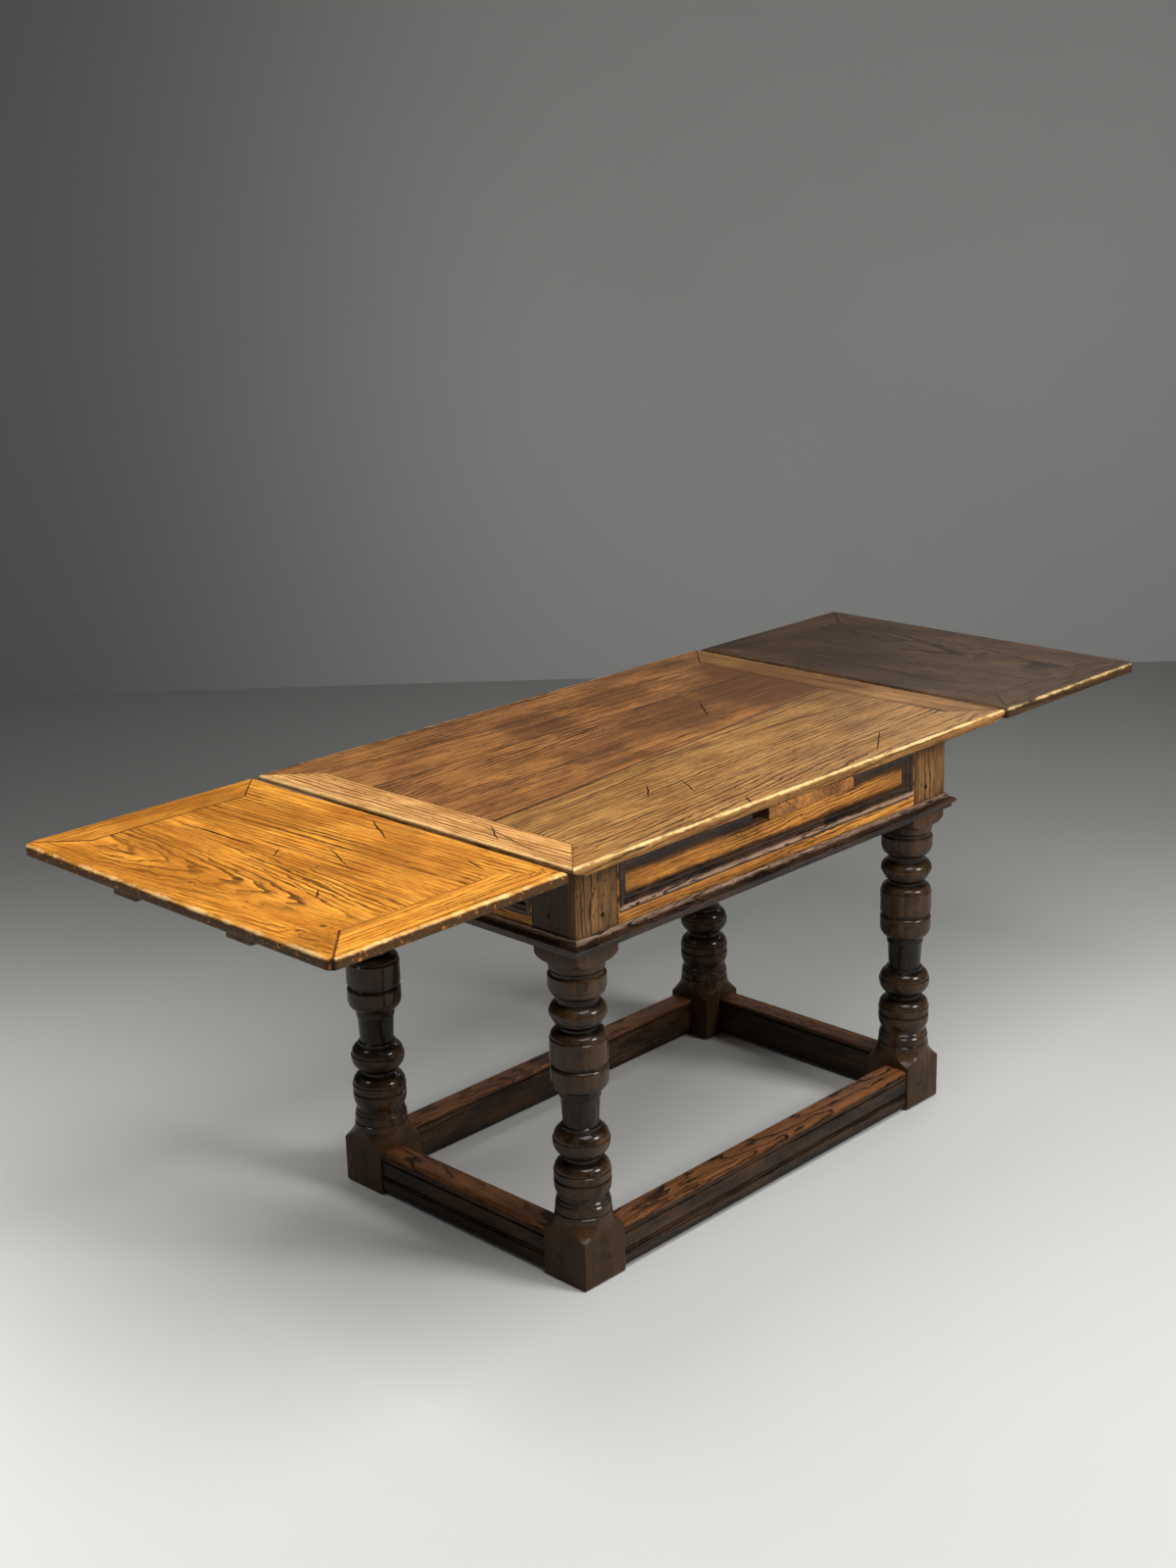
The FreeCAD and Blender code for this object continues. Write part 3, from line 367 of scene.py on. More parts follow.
def near_point(graph, point, reach):
    """Soft round nearness to a point of the plan, or of space where it has a height."""
    upright = 1.0 if len(point) == 3 else 0.0
    apart = graph.mapping(graph.place, -Vector(point).to_3d(), scale=(1, 1, upright))
    return graph.step(graph.vector("LENGTH", apart, output="Value"), reach, 0.0)


def seam_mask(graph, seam):
    """Straight dark joint along a line through two points of the upper face."""
    x0, y0, x1, y1 = seam
    span = math.hypot(x1 - x0, y1 - y0)
    across = ((y0 - y1) / span, (x1 - x0) / span, 0.0)
    apart = graph.vector("SUBTRACT", graph.place, (x0, y0, 0.0))
    apart = graph.vector("DOT_PRODUCT", apart, across, output="Value")
    return graph.step(graph.math("ABSOLUTE", apart), SEAM_REACH, SEAM_REACH * 0.3)


def crown_wear_and_highlight(graph, body, crown, seed):
    """Rubbed arris along a board's outer edges, brightened also as a painted highlight, above
    darker speckled edge faces.
    """
    level, edges, share, start = crown
    parts = graph.split(graph.place)
    rough = graph.noise(graph.place, (28, 28, 28), seed + 6.1, 5.0, 0.75)
    spot = graph.step(graph.noise(graph.place, (150, 150, 150), seed + 6.9, 3.0, 0.6), 0.27, 0.46)
    under = graph.step(parts["Z"], level - start, level - start - EDGE_FADE)
    under = graph.math("MULTIPLY", under, spot)
    body = graph.mix(under, body, finish().edge_face, share)
    drop = graph.math("SUBTRACT", parts["Z"], level)
    drop = graph.math("MULTIPLY", drop, drop)
    for axis, place in edges:
        apart = graph.math("SUBTRACT", parts[axis], place)
        far = graph.math("SQRT", graph.math("MULTIPLY_ADD", apart, apart, drop))
        near = graph.step(graph.vary(far, rough, 0.016), ARRIS_LIMIT, ARRIS_MIDDLE)
        # Rubbed arris and painted highlight in one bright tone.
        body = graph.mix(near, body, finish().arris_wear_and_highlight, 0.6)
    return body


def lathe_wear(graph, body, lathe, light, dark, seed):
    """Rubbed crests and dark grooves of a turned piece."""
    middle, half = lathe
    flat = graph.vector("MULTIPLY", graph.vector("SUBTRACT", graph.place, middle), (1, 1, 0))
    share = graph.math("DIVIDE", graph.vector("LENGTH", flat, output="Value"), half)
    rough = graph.noise(graph.place, (30, 30, 60), seed + 4.4, 4.0, 0.6)
    crest = graph.vary(share, rough, 0.30)
    body = graph.mix(graph.step(crest, 0.90, 1.06), body, light, 0.5)
    return graph.mix(graph.step(crest, 0.92, 0.74), body, dark, 0.7)


def growth(graph, board, pith, seed, ring, sway, knots):
    """Bent place in the board, early wood of its rings and hearts of its knots."""
    drift = graph.wander(board, (2.0, 9, 9), seed, sway)
    ripple = graph.wander(board, (22, 70, 70), seed + 1.7, 0.009)
    bent = graph.vector("ADD", board, graph.vector("ADD", drift, ripple))
    along, across, up = graph.split(bent)
    side, below, lean_side, lean_up = pith
    across = graph.math("SUBTRACT", across, graph.math("MULTIPLY_ADD", along, lean_side, side))
    up = graph.math("SUBTRACT", up, graph.math("MULTIPLY_ADD", along, lean_up, below))
    radius = graph.math("SQRT", graph.math(
        "ADD", graph.math("MULTIPLY", across, across), graph.math("MULTIPLY", up, up)))
    uneven = graph.noise(graph.add("ShaderNodeCombineXYZ", {0: radius}), (55, 0, 0), seed + 2.2)
    radius = graph.math("MULTIPLY_ADD", uneven, 0.022, radius)
    hearts = []
    for x, y, reach in knots:
        swirl = near_point(graph, (x, y), reach * 4)
        radius = graph.math("MULTIPLY_ADD", swirl, reach * 1.4, radius)
        hearts.append(near_point(graph, (x, y), reach))
    phase = graph.math("FRACT", graph.math("DIVIDE", radius, wear().ring_width * ring))
    early = graph.ramp(phase, EARLY_WOOD)
    broken = graph.noise(board, (30, 160, 160), seed + 3.3, 3.0, 0.6)
    faded = graph.step(graph.noise(board, (3.5, 16, 16), seed + 4.1, 3.0, 0.6), 0.34, 0.62)
    broken = graph.math("MULTIPLY", graph.math("MULTIPLY_ADD", broken, 2.0, 0.1),
                        graph.math("MULTIPLY_ADD", faded, 0.75, 0.25))
    return bent, graph.math("MULTIPLY", early, broken, clamp=True), hearts


def oak(node, stem, grain, pith, seed, light_edges=(), painted_shade_edges=(), cracks=(), seams=(),
        knots=(), blots=(), stain=0.5, gloss=0.36, wax=PLAIN_WAX, worn=None, lathe=None,
        ring=1.0, sway=0.034, crown=None, holes=(), face=None, centre=None):
    """Waxed oak: growth rings about a leaning pith, pores, fibres, stains and wear, with painted
    light and painted shade along given edges.

    stem names the palette, and grain is the axis along the piece.
    pith is the log's heart from the board's centre: across, below and its two leans.
    lathe gives a turned piece's axis and radius, for rubbed crests and dark grooves.
    crown gives a board's upper level, its outer edges, how dark their faces are and
    how far down that starts. face limits the light edges to one face of the piece.
    """
    light, mid, dark = palette_of(stem)
    shadow = tuple(0.55 * a + 0.45 * b for a, b in zip(mid, dark))
    graph = Graph(node + "_oak")
    turn = GRAIN_TURN[grain]
    shift = -(Euler(turn).to_matrix() @ Vector(centre or middle_of(node)))
    board = graph.mapping(graph.place, shift, turn)
    bent, early, hearts = growth(graph, board, pith, seed, ring, sway, knots)
    fibre = graph.noise(board, (8, 300, 300), seed + 5.3, 4.0, 0.65)
    pore = graph.noise(board, (40, 760, 760), seed + 7.9, 1.0)
    pore = graph.math("MULTIPLY", graph.step(pore, 0.54, 0.66),
                      graph.math("MULTIPLY_ADD", early, 0.75, 0.25))
    patch = graph.step(graph.noise(board, (2.4, 6.5, 6.5), seed + 11.3, 5.0, 0.62), 0.44, 0.70)
    mottle = graph.noise(board, (10, 30, 30), seed + 12.1, 5.0, 0.65)
    speck = graph.step(graph.noise(board, (55, 120, 120), seed + 13.7, 4.0, 0.7), 0.57, 0.70)

    body = graph.mix(graph.step(mottle, 0.30, 0.72), light, mid)
    # Lighter along the light edges: rubbed wear together with painted light, such as a painted lit
    # face or a painted glint.
    if light_edges:
        rubbed = edge_mask(graph, light_edges, 0.9, seed)
        if face:
            rubbed = graph.math("MULTIPLY", rubbed, edge_mask(graph, (face,), 0.3, seed + 1))
        body = graph.mix(rubbed, body, worn or light, 0.8)
    body = graph.mix(early, body, dark, 0.9)
    body = graph.mix(pore, body, dark, 0.9)
    body = graph.mix(patch, body, shadow, stain)
    for x, y, reach, share in blots:
        spread = graph.vary(near_point(graph, (x, y), reach), mottle, 0.7)
        body = graph.mix(graph.step(spread, 0.10, 0.75), body, shadow, share)
    body = graph.mix(speck, body, dark, 0.7)
    streak = graph.vary(1.0, fibre, 1.9)
    streak = graph.add("ShaderNodeCombineColor", {0: streak, 1: streak, 2: streak})
    body = graph.mix(1.0, body, streak, blend="MULTIPLY")
    band = graph.noise(bent, (2.6, 75, 75), seed + 8.8, 5.0, 0.72)
    body = graph.mix(graph.step(band, 0.52, 0.66), body, shadow, 0.7)
    body = graph.mix(graph.step(band, 0.44, 0.30), body, light, 0.5)
    # Painted shade along the given edges.
    if painted_shade_edges:
        body = graph.mix(edge_mask(graph, painted_shade_edges, 0.7, seed + 2), body, dark, 0.85)
    if crown:
        body = crown_wear_and_highlight(graph, body, crown, seed)
    if lathe:
        body = lathe_wear(graph, body, lathe, light, dark, seed)
    for hole in holes:
        body = graph.mix(near_point(graph, hole, HOLE_REACH), body, darker(dark, 0.3))
    for seam in seams:
        body = graph.mix(seam_mask(graph, seam), body, dark, 0.85)
    if hearts:
        body = graph.mix(graph.most(hearts), body, dark, 0.9)

    dent = graph.noise(board, (11, 26, 26), seed + 19.9, 3.0, 0.5)
    height = graph.math("MULTIPLY_ADD", early, -0.35, graph.math("MULTIPLY", fibre, 0.35))
    height = graph.math("MULTIPLY_ADD", pore, -0.8, height)
    normal = graph.bump(dent, 0.0022, 0.55)
    normal = graph.bump(height, 0.0006, 0.6, normal)
    if cracks:
        split = graph.most([crack_mask(graph, crack, seed + index * 2.3)
                            for index, crack in enumerate(cracks)])
        body = graph.mix(split, body, darker(dark, 0.25))
        normal = graph.bump(graph.math("SUBTRACT", 1.0, split), 0.002, 1.0, normal)
    graph.give("Base Color", body)
    graph.give("Normal", normal)

    smear = graph.noise(board, (7, 16, 16), seed + 17.1, 4.0, 0.6)
    rough = graph.vary(gloss, smear, 0.34)
    graph.give("Roughness", graph.math("MULTIPLY_ADD", pore, 0.25, rough, clamp=True))
    graph.give("Specular IOR Level", WOOD_SHINE)
    graph.give("Coat Roughness", WAX_ROUGHNESS)
    coat = wax
    if lathe:
        level = graph.split(graph.place)["Z"]
        turned = graph.math("MULTIPLY", graph.step(level, FOOT_BLOCK, FOOT_BLOCK + WAX_FADE),
                            graph.step(level, UPPER_BLOCK, UPPER_BLOCK - WAX_FADE))
        coat = graph.math("MULTIPLY_ADD", turned, wax - PLAIN_WAX, PLAIN_WAX)
    graph.give("Coat Weight", coat)
    return graph.material


# Pieces.


def palette_of(stem):
    values = finish()
    return tuple(tuple(getattr(values, "%s_%s" % (stem, tone)))
                 for tone in ("light", "mid", "dark"))


def loose_object(name, bm):
    """Turns a bmesh into an object of the scene."""
    mesh = bpy.data.meshes.new(name)
    bm.to_mesh(mesh)
    bm.free()
    made = bpy.data.objects.new(name, mesh)
    bpy.context.scene.collection.objects.link(made)
    return made


def settle(name, bm, material, crease=BOARD_CREASE):
    """Turns a bmesh into an object with smooth faces and sharp creases."""
    limit = math.radians(crease)
    for face in bm.faces:
        face.smooth = True
    for edge in bm.edges:
        edge.smooth = not (len(edge.link_faces) == 2 and edge.calc_face_angle() > limit)
    piece = loose_object(name, bm)
    piece.data.materials.append(material)
    return piece


def even_normals(piece):
    """Keeps flat faces flat beside their eased arrises."""
    modifier = piece.modifiers.new("Even normals", "WEIGHTED_NORMAL")
    modifier.keep_sharp = True
    modifier.weight = 80


def stand_for(piece, node, body):
    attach(piece, body)
    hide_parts(node)


def turn_round(bm, turn, axis="Z"):
    bmesh.ops.rotate(bm, verts=bm.verts, cent=(0, 0, 0), matrix=Matrix.Rotation(turn, 3, axis))


def round_edges(bm, edges, offset, segments):
    bmesh.ops.bevel(bm, geom=edges, offset=offset, offset_type="OFFSET", affect="EDGES",
                    segments=segments, profile=0.5, material=-1, clamp_overlap=False)


def eased(node, arris, shortest, segments):
    """Copy of a CAD piece, merged, with its long sharp arrises eased."""
    bm = bmesh.new()
    bm.from_mesh(frame["nodes"][node].data)
    bmesh.ops.remove_doubles(bm, verts=bm.verts, dist=1e-6)
    bmesh.ops.dissolve_limit(bm, angle_limit=math.radians(0.3), verts=bm.verts, edges=bm.edges)
    sharp = [edge for edge in bm.edges
             if len(edge.link_faces) == 2 and edge.calc_length() > shortest
             and edge.calc_face_angle() > math.radians(28)]
    round_edges(bm, sharp, arris, segments)
    return bm


def soften_corners(bm, tip):
    """Rounds the two corners at a leaf's tip in plan."""
    reach = wear().corner_round
    inward = -math.copysign(1.0, tip)
    for side in (CAD_BOX[0][1], CAD_BOX[1][1]):
        turn = -math.copysign(1.0, side)
        middle = Vector((tip + inward * reach, side + turn * reach, 0.0))
        for share in (0.0, 0.3, 0.55, 0.8):
            cut = middle - Vector((inward, turn, 0.0)) * reach * share
            for way in ((1, 0, 0), (0, 1, 0)):
                bmesh.ops.bisect_plane(bm, geom=bm.verts[:] + bm.edges[:] + bm.faces[:],
                                       dist=1e-6, plane_co=cut, plane_no=way)
        for vert in bm.verts:
            apart = (vert.co - middle).to_2d()
            if apart.x * inward < 0 and apart.y * turn < 0:
                apart *= max(abs(apart.x), abs(apart.y)) / apart.length
                vert.co.xy = middle.to_2d() + apart


def put_eased(node, ending, material, body, arris, shortest, segments=2, tip=None):
    """Stands a CAD piece's copy with eased arrises in its place.

    shortest is the length from which an arris is eased, and tip a leaf's outer end.
    """
    bm = eased(node, arris, shortest, segments)
    if tip is not None:
        soften_corners(bm, tip)
    piece = settle(node + ending, bm, material)
    even_normals(piece)
    stand_for(piece, node, body)


def dress(node, material):
    """Gives a CAD piece that keeps its own shape its finish."""
    slots = frame["nodes"][node].data.materials
    slots.clear()
    slots.append(material)


def middle_of(node):
    low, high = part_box(node)
    return (low + high) / 2


def cleat_seams(node):
    """Joints of a mitred cleat: its two mitres and the line along the boards."""
    low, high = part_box(node)
    across = 0 if high.x - low.x < high.y - low.y else 1
    start, end = low[1 - across], high[1 - across]
    width = high[across] - low[across]
    outer, inner = sorted((low[across], high[across]), key=abs, reverse=True)
    lines = (((outer, start), (inner, start + width)), ((outer, end), (inner, end - width)),
             ((inner, start), (inner, end)))
    order = -1 if across else 1
    return [(*first[::order], *second[::order]) for first, second in lines]


# How dark the edge faces of the top and the leaves are, and how far down that starts.
EDGE_FACE_DARKNESS = {"top": (0.33, 0.0045), "left": (0.95, 0.0015), "right": (0.35, 0.0045)}
# Joints between the planks of the top, from its left end to its right end.
FRONT_JOINT = (-0.566, -0.128, 0.566, -0.014)
BACK_JOINT = (-0.566, 0.168, 0.566, 0.156)


class TABLE_OT_top(bpy.types.Operator):
    """Loose top: three planks between mitred cleats, worn along its arrises, with a painted
    highlight there
    """
    bl_idname = "table.top"
    bl_label = "Top"

    def execute(self, context):
        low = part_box("top_cleat_left")[0]
        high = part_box("top_cleat_right")[1]
        edges = (("Y", low.y), ("Y", high.y), ("X", low.x), ("X", high.x))
        crown = (high.z, edges, *EDGE_FACE_DARKNESS["top"])
        # Node, palette, grain, pith, seed, stain, cracks and blots.
        rows = (
            ("top_plank_front", "top", "X", (-0.24, -0.14, 0.060, 0.020), 1.3, 0.35,
             ((0.127, -0.105, 0.480, -0.136, 0.0013), (0.311, -0.275, 0.197, -0.352, 0.0009),
              (-0.184, -0.172, -0.240, -0.228, 0.0009), (-0.131, -0.194, -0.171, -0.272, 0.0008),
              (-0.134, -0.338, -0.156, -0.371, 0.0010), (-0.40, -0.16, 0.05, -0.10, 0.0008)),
             ((0.45, -0.05, 0.16, 0.5),)),
            ("top_plank_middle", "core", "X", (0.26, -0.16, 0.040, -0.020), 2.9, 0.75,
             ((-0.269, 0.086, 0.142, 0.150, 0.0009), (0.263, 0.105, 0.184, 0.013, 0.0012),
              (0.184, 0.013, 0.200, -0.030, 0.0011), (0.061, 0.063, 0.166, 0.062, 0.0008)),
             ((0.430, 0.040, 0.26, 0.95), (0.194, 0.135, 0.15, 0.6), (-0.112, 0.007, 0.13, 0.3),
              (0.40, 0.14, 0.18, 0.8))),
            ("top_plank_back", "core", "X", (0.22, -0.12, -0.030, 0.020), 4.1, 0.7,
             ((-0.105, 0.218, 0.163, 0.230, 0.0010), (-0.341, 0.183, -0.186, 0.187, 0.0008)),
             ((-0.054, 0.232, 0.14, 0.7), (0.492, 0.190, 0.18, 0.8), (0.20, 0.25, 0.12, 0.5))),
            ("top_cleat_left", "cleat", "Y", (0.15, -0.10, 0.030, 0.02), 5.7, 0.2,
             ((-0.495, -0.127, -0.540, -0.195, 0.0010), (-0.545, -0.285, -0.50, -0.10, 0.0007)),
             ()),
            ("top_cleat_right", "top", "Y", (-0.16, -0.13, 0.020, -0.03), 7.3, 0.7,
             ((0.53, -0.10, 0.515, 0.12, 0.0008),), ((0.52, 0.06, 0.30, 0.85),)),
        )
        seams = {"top_plank_front": (FRONT_JOINT,), "top_plank_back": (BACK_JOINT,),
                 "top_plank_middle": (FRONT_JOINT, BACK_JOINT)}
        for node, stem, grain, pith, seed, stain, cracks, blots in rows:
            material = oak(node, stem, grain, pith, seed,
                           cracks=cracks, seams=seams.get(node) or cleat_seams(node),
                           blots=blots, stain=stain, gloss=0.40, ring=1.9, sway=0.026,
                           crown=crown)
            put_eased(node, "_worn", material, "top", wear().board_arris, shortest=0.03)
        return {"FINISHED"}


# Cracks, knots and blots of the leaves' boards.
LEAF_MARKS = {
    "left_leaf_board_outer": (
        ((-0.798, 0.297, -0.791, 0.048, 0.0014), (-0.809, 0.017, -0.758, 0.049, 0.0010),
         (-0.884, -0.177, -0.851, -0.144, 0.0009)),
        ((-0.977, -0.253, 0.007), (-0.943, -0.266, 0.009), (-0.955, 0.02, 0.005)),
        ((-0.86, 0.20, 0.12, 0.45), (-0.99, 0.25, 0.10, 0.6), (-0.99, -0.30, 0.07, 0.6))),
    "left_leaf_board_inner": (
        ((-0.590, 0.045, -0.648, -0.060, 0.0011), (-0.628, -0.213, -0.648, -0.280, 0.0010),
         (-0.722, -0.007, -0.767, -0.114, 0.0008)),
        (), ((-0.70, 0.18, 0.14, 0.5), (-0.681, -0.103, 0.09, 0.55))),
    "right_leaf_board_outer": (
        ((0.90, -0.10, 0.88, 0.20, 0.0008),), (), ((0.85, 0.20, 0.20, 0.6),)),
    "right_leaf_board_inner": (
        ((0.66, -0.22, 0.67, 0.12, 0.0009),), (),
        ((0.70, 0.10, 0.20, 0.8), (0.62, -0.13, 0.12, 0.6))),
}


class TABLE_OT_leaves(bpy.types.Operator):
    """Drawn leaves: boards across the table between mitred cleats"""
    bl_idname = "table.leaves"
    bl_label = "Leaves"

    def execute(self, context):
        for index, side in enumerate(("left", "right")):
            body = side + "_leaf"
            tip = CAD_BOX[index][0]
            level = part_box(body + "_board_outer")[1].z
            edges = (("X", tip), ("Y", CAD_BOX[0][1]), ("Y", CAD_BOX[1][1]))
            crown = (level, edges, *EDGE_FACE_DARKNESS[side])
            # Piece, grain, pith, ring width and sway.
            rows = (("board_inner", "Y", (-0.21, -0.10, 0.03, 0.03), 2.4, 0.024),
                    ("board_outer", "Y", (0.03, -0.09, 0.02, 0.07), 1.5, 0.036),
                    ("cleat_front", "X", (0.12, -0.09, 0.03, 0.02), 1.8, 0.016),
                    ("cleat_back", "X", (0.14, -0.08, -0.03, 0.03), 1.8, 0.016))
            for row, (stem, grain, pith, ring, sway) in enumerate(rows):
                node = "%s_leaf_%s" % (side, stem)
                seams = cleat_seams(node) if "cleat" in stem else ()
                cracks, knots, blots = LEAF_MARKS.get(node, ((), (), ()))
                # Each leaf takes its side's palette; the left one holds painted sheen.
                material = oak(node, side, grain, pith, 10.3 + 7 * index + 1.9 * row, seams=seams,
                               cracks=cracks, knots=knots, blots=blots,
                               stain=0.9 if "cleat" in stem else 0.65,
                               gloss=0.34 if side == "left" else 0.46,
                               ring=ring, sway=sway, crown=crown)
                put_eased(node, "_worn", material, body,
                          wear().board_arris, shortest=0.03, tip=tip)
        return {"FINISHED"}


# The turned part of a leg: share of its height, share of the half side,
# and where a curve starts also the share of its arc's centre, as in the solid.
TURNING_SHARES = (
    (0.000, 1.440, 1.800), (0.070, 0.985), (0.073, 0.950), (0.077, 0.975), (0.103, 0.960),
    (0.108, 0.920), (0.118, 0.915), (0.122, 0.880), (0.134, 0.880, 0.301), (0.170, 0.990),
    (0.182, 0.990), (0.186, 0.915), (0.191, 0.915), (0.195, 0.990), (0.216, 0.990),
    (0.219, 0.945), (0.222, 0.965, 0.640), (0.252, 0.700), (0.256, 0.640), (0.266, 0.640),
    (0.270, 0.690), (0.275, 0.735, 0.424), (0.320, 0.990), (0.329, 0.990), (0.331, 0.945),
    (0.334, 0.955, 0.587), (0.366, 0.745), (0.369, 0.695), (0.377, 0.690), (0.382, 0.620),
    (0.474, 0.675), (0.480, 0.715), (0.489, 0.715), (0.502, 0.735, 0.558), (0.540, 0.990),
    (0.576, 0.990, 0.834), (0.590, 0.890), (0.600, 0.880), (0.604, 0.990), (0.682, 0.990),
    (0.686, 0.940), (0.689, 0.960, 0.729), (0.711, 0.760), (0.714, 0.665), (0.723, 0.665),
    (0.730, 0.725, 0.560), (0.748, 0.865), (0.750, 0.890, 0.600), (0.767, 0.955),
    (0.769, 0.985), (0.777, 0.985, 0.640), (0.806, 0.745), (0.809, 0.715), (0.826, 0.715),
    (0.830, 0.750, 0.640), (0.860, 0.960), (0.862, 0.990), (0.902, 0.990),
    (0.906, 0.895, 1.100), (0.927, 0.955), (0.952, 0.990, 0.990), (1.000, 1.440),
)
# Old nail holes in the front of the near left post.
NAIL_HOLES = ((-0.417, -0.296, 0.686), (-0.447, -0.296, 0.686), (-0.441, -0.296, 0.679),
              (-0.421, -0.296, 0.663), (-0.434, -0.296, 0.692), (-0.478, -0.296, 0.677))
# Heights where the turning starts and ends.
FOOT_BLOCK = 0.084
UPPER_BLOCK = 0.577
ARC_STEPS = 9
# Share of the half side that clears the block's corners, and the overrun past its ends.
BLOCK_SHARE = 1.6
OVERRUN = 0.01


def turning_outline(half, tall):
    """Points of the turned profile from end to end, with its arcs divided."""
    block = half * BLOCK_SHARE
    points = [(0.0, -OVERRUN), (block, -OVERRUN), (block, FOOT_BLOCK)]
    run = UPPER_BLOCK - FOOT_BLOCK
    for row, after in zip(TURNING_SHARES, TURNING_SHARES[1:] + TURNING_SHARES[-1:]):
        r0, z0 = half * row[1], FOOT_BLOCK + run * row[0]
        points.append((r0, z0))
        if len(row) < 3:
            continue
        r1, z1 = half * after[1], FOOT_BLOCK + run * after[0]
        rc = half * row[2]
        zc = ((r1 - rc) ** 2 - (r0 - rc) ** 2 + z1 * z1 - z0 * z0) / (2 * (z1 - z0))
        start = math.atan2(z0 - zc, r0 - rc)
        end = math.atan2(z1 - zc, r1 - rc)
        sweep = (end - start + math.pi) % (2 * math.pi) - math.pi
        reach = math.hypot(r0 - rc, z0 - zc)
        for step in range(1, ARC_STEPS):
            turn = start + sweep * step / ARC_STEPS
            points.append((rc + reach * math.cos(turn), zc + reach * math.sin(turn)))
    return points + [(block, UPPER_BLOCK), (block, tall + OVERRUN), (0.0, tall + OVERRUN)]


def square_post(half, tall):
    """Square post with eased corners and a worn foot."""
    arris = wear().post_arris
    bm = bmesh.new()
    bmesh.ops.create_cube(bm, size=1.0)
    bmesh.ops.scale(bm, vec=(2 * half, 2 * half, tall), verts=bm.verts)
    bmesh.ops.translate(bm, vec=(0, 0, tall / 2), verts=bm.verts)
    foot = [edge for edge in bm.edges if all(v.co.z < arris for v in edge.verts)]
    round_edges(bm, foot, wear().foot_arris, 3)
    upright = [edge for edge in bm.edges
               if abs(edge.verts[0].co.z - edge.verts[1].co.z) > tall / 2]
    round_edges(bm, upright, arris, 3)
    return bm


def turned_leg(context, half, tall):
    """Mesh of a leg: the square post cut to the turned profile."""
    bm = bmesh.new()
    verts = [bm.verts.new((r, 0.0, z)) for r, z in turning_outline(half, tall)]
    edges = [bm.edges.new(pair) for pair in zip(verts, verts[1:])]
    bmesh.ops.spin(bm, geom=verts + edges, cent=(0, 0, 0), axis=(0, 0, 1),
                   angle=2 * math.pi, steps=wear().turning_steps, use_merge=True)
    bmesh.ops.remove_doubles(bm, verts=bm.verts, dist=1e-6)
    bmesh.ops.recalc_face_normals(bm, faces=bm.faces)
    turned = loose_object("leg_turning", bm)
    post = loose_object("leg_post", square_post(half, tall))
    cut = post.modifiers.new("Turning", "BOOLEAN")
    cut.operation = "INTERSECT"
    cut.solver = "EXACT"
    cut.object = turned
    depsgraph = context.evaluated_depsgraph_get()
    shaped = bpy.data.meshes.new_from_object(post.evaluated_get(depsgraph))
    for helper in (post, turned):
        bpy.data.objects.remove(helper)
    return shaped


class TABLE_OT_legs(bpy.types.Operator):
    """Turned legs with square blocks where rails and stretchers join"""
    bl_idname = "table.legs"
    bl_label = "Legs"

    def execute(self, context):
        low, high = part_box(LEGS[0])
        half = (high.x - low.x) / 2
        shaped = turned_leg(context, half, high.z)
        for index, node in enumerate(LEGS):
            centre = middle_of(node)
            # The outer face of each upper block is lightened in the post colour: painted light on
            # the lit side.
            material = oak(node, "frame", "Z", (0.03, -0.02, 0.01, 0.02), 30.1 + 3.7 * index,
                           (("Z", 0.655, 0.12),), worn=finish().post_painted_light, stain=0.6,
                           gloss=0.30, wax=0.30, ring=1.2,
                           face=("Y", centre.y + math.copysign(half, centre.y), 0.03),
                           lathe=((centre.x, centre.y, 0.0), half),
                           holes=NAIL_HOLES if node == "leg_front_left" else ())
            bm = bmesh.new()
            bm.from_mesh(shaped)
            turn_round(bm, index * math.pi / 2)
            bmesh.ops.translate(bm, vec=(centre.x, centre.y, 0.0), verts=bm.verts)
            piece = settle(node + "_turned", bm, material, TURNED_CREASE)
            stand_for(piece, node, "frame")
        bpy.data.meshes.remove(shaped)
        return {"FINISHED"}


class TABLE_OT_friezes(bpy.types.Operator):
    """Frieze rails with their sunk fields"""
    bl_idname = "table.friezes"
    bl_label = "Friezes"

    def execute(self, context):
        for index, side in enumerate(SIDES):
            node = "frieze_" + side
            low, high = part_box(node)
            # Painted shade along the lower and the upper side of the sunk field, where it meets its
            # mouldings.
            painted_shade_edges = (("Z", low.z + 0.066, 0.014), ("Z", high.z - 0.036, 0.016))
            material = oak(node, "frieze", RUN[side], (0.02, -0.07, 0.01, 0.03), 50.3 + 2.9 * index,
                           painted_shade_edges=painted_shade_edges, stain=0.75, gloss=0.34, ring=1.6)
            put_eased(node, "_board", material, "frame",
                      wear().frieze_arris, shortest=0.03)
        return {"FINISHED"}


class TABLE_OT_mouldings(bpy.types.Operator):
    """Panel mouldings and the moulding round the foot of the frieze"""
    bl_idname = "table.mouldings"
    bl_label = "Mouldings"

    def execute(self, context):
        pith = (0.05, -0.05, 0.01, 0.01)
        wood = {"stain": 0.3, "gloss": 0.20, "wax": 0.28}
        for index, side in enumerate(SIDES):
            node = "panel_moulding_" + side
            # Painted highlight: a glint line along the lower member of the panel moulding.
            crest = ("Z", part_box(node)[0].z + 0.007, 0.006)
            dress(node, oak(node, "moulding", RUN[side], pith, 60.7 + 1.3 * index, (crest,),
                            worn=finish().panel_painted_glint, **wood))
            node = "base_moulding_" + side
            # Painted highlight: a glint line along the upper roll of the base moulding.
            crest = ("Z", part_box(node)[1].z - 0.003, 0.007)
            material = oak(node, "moulding", RUN[side], pith, 66.1 + 1.3 * index, (crest,),
                           worn=finish().base_painted_glint, **wood)
            put_eased(node, "_run", material, "frame",
                      wear().moulding_arris, shortest=0.05)
        return {"FINISHED"}


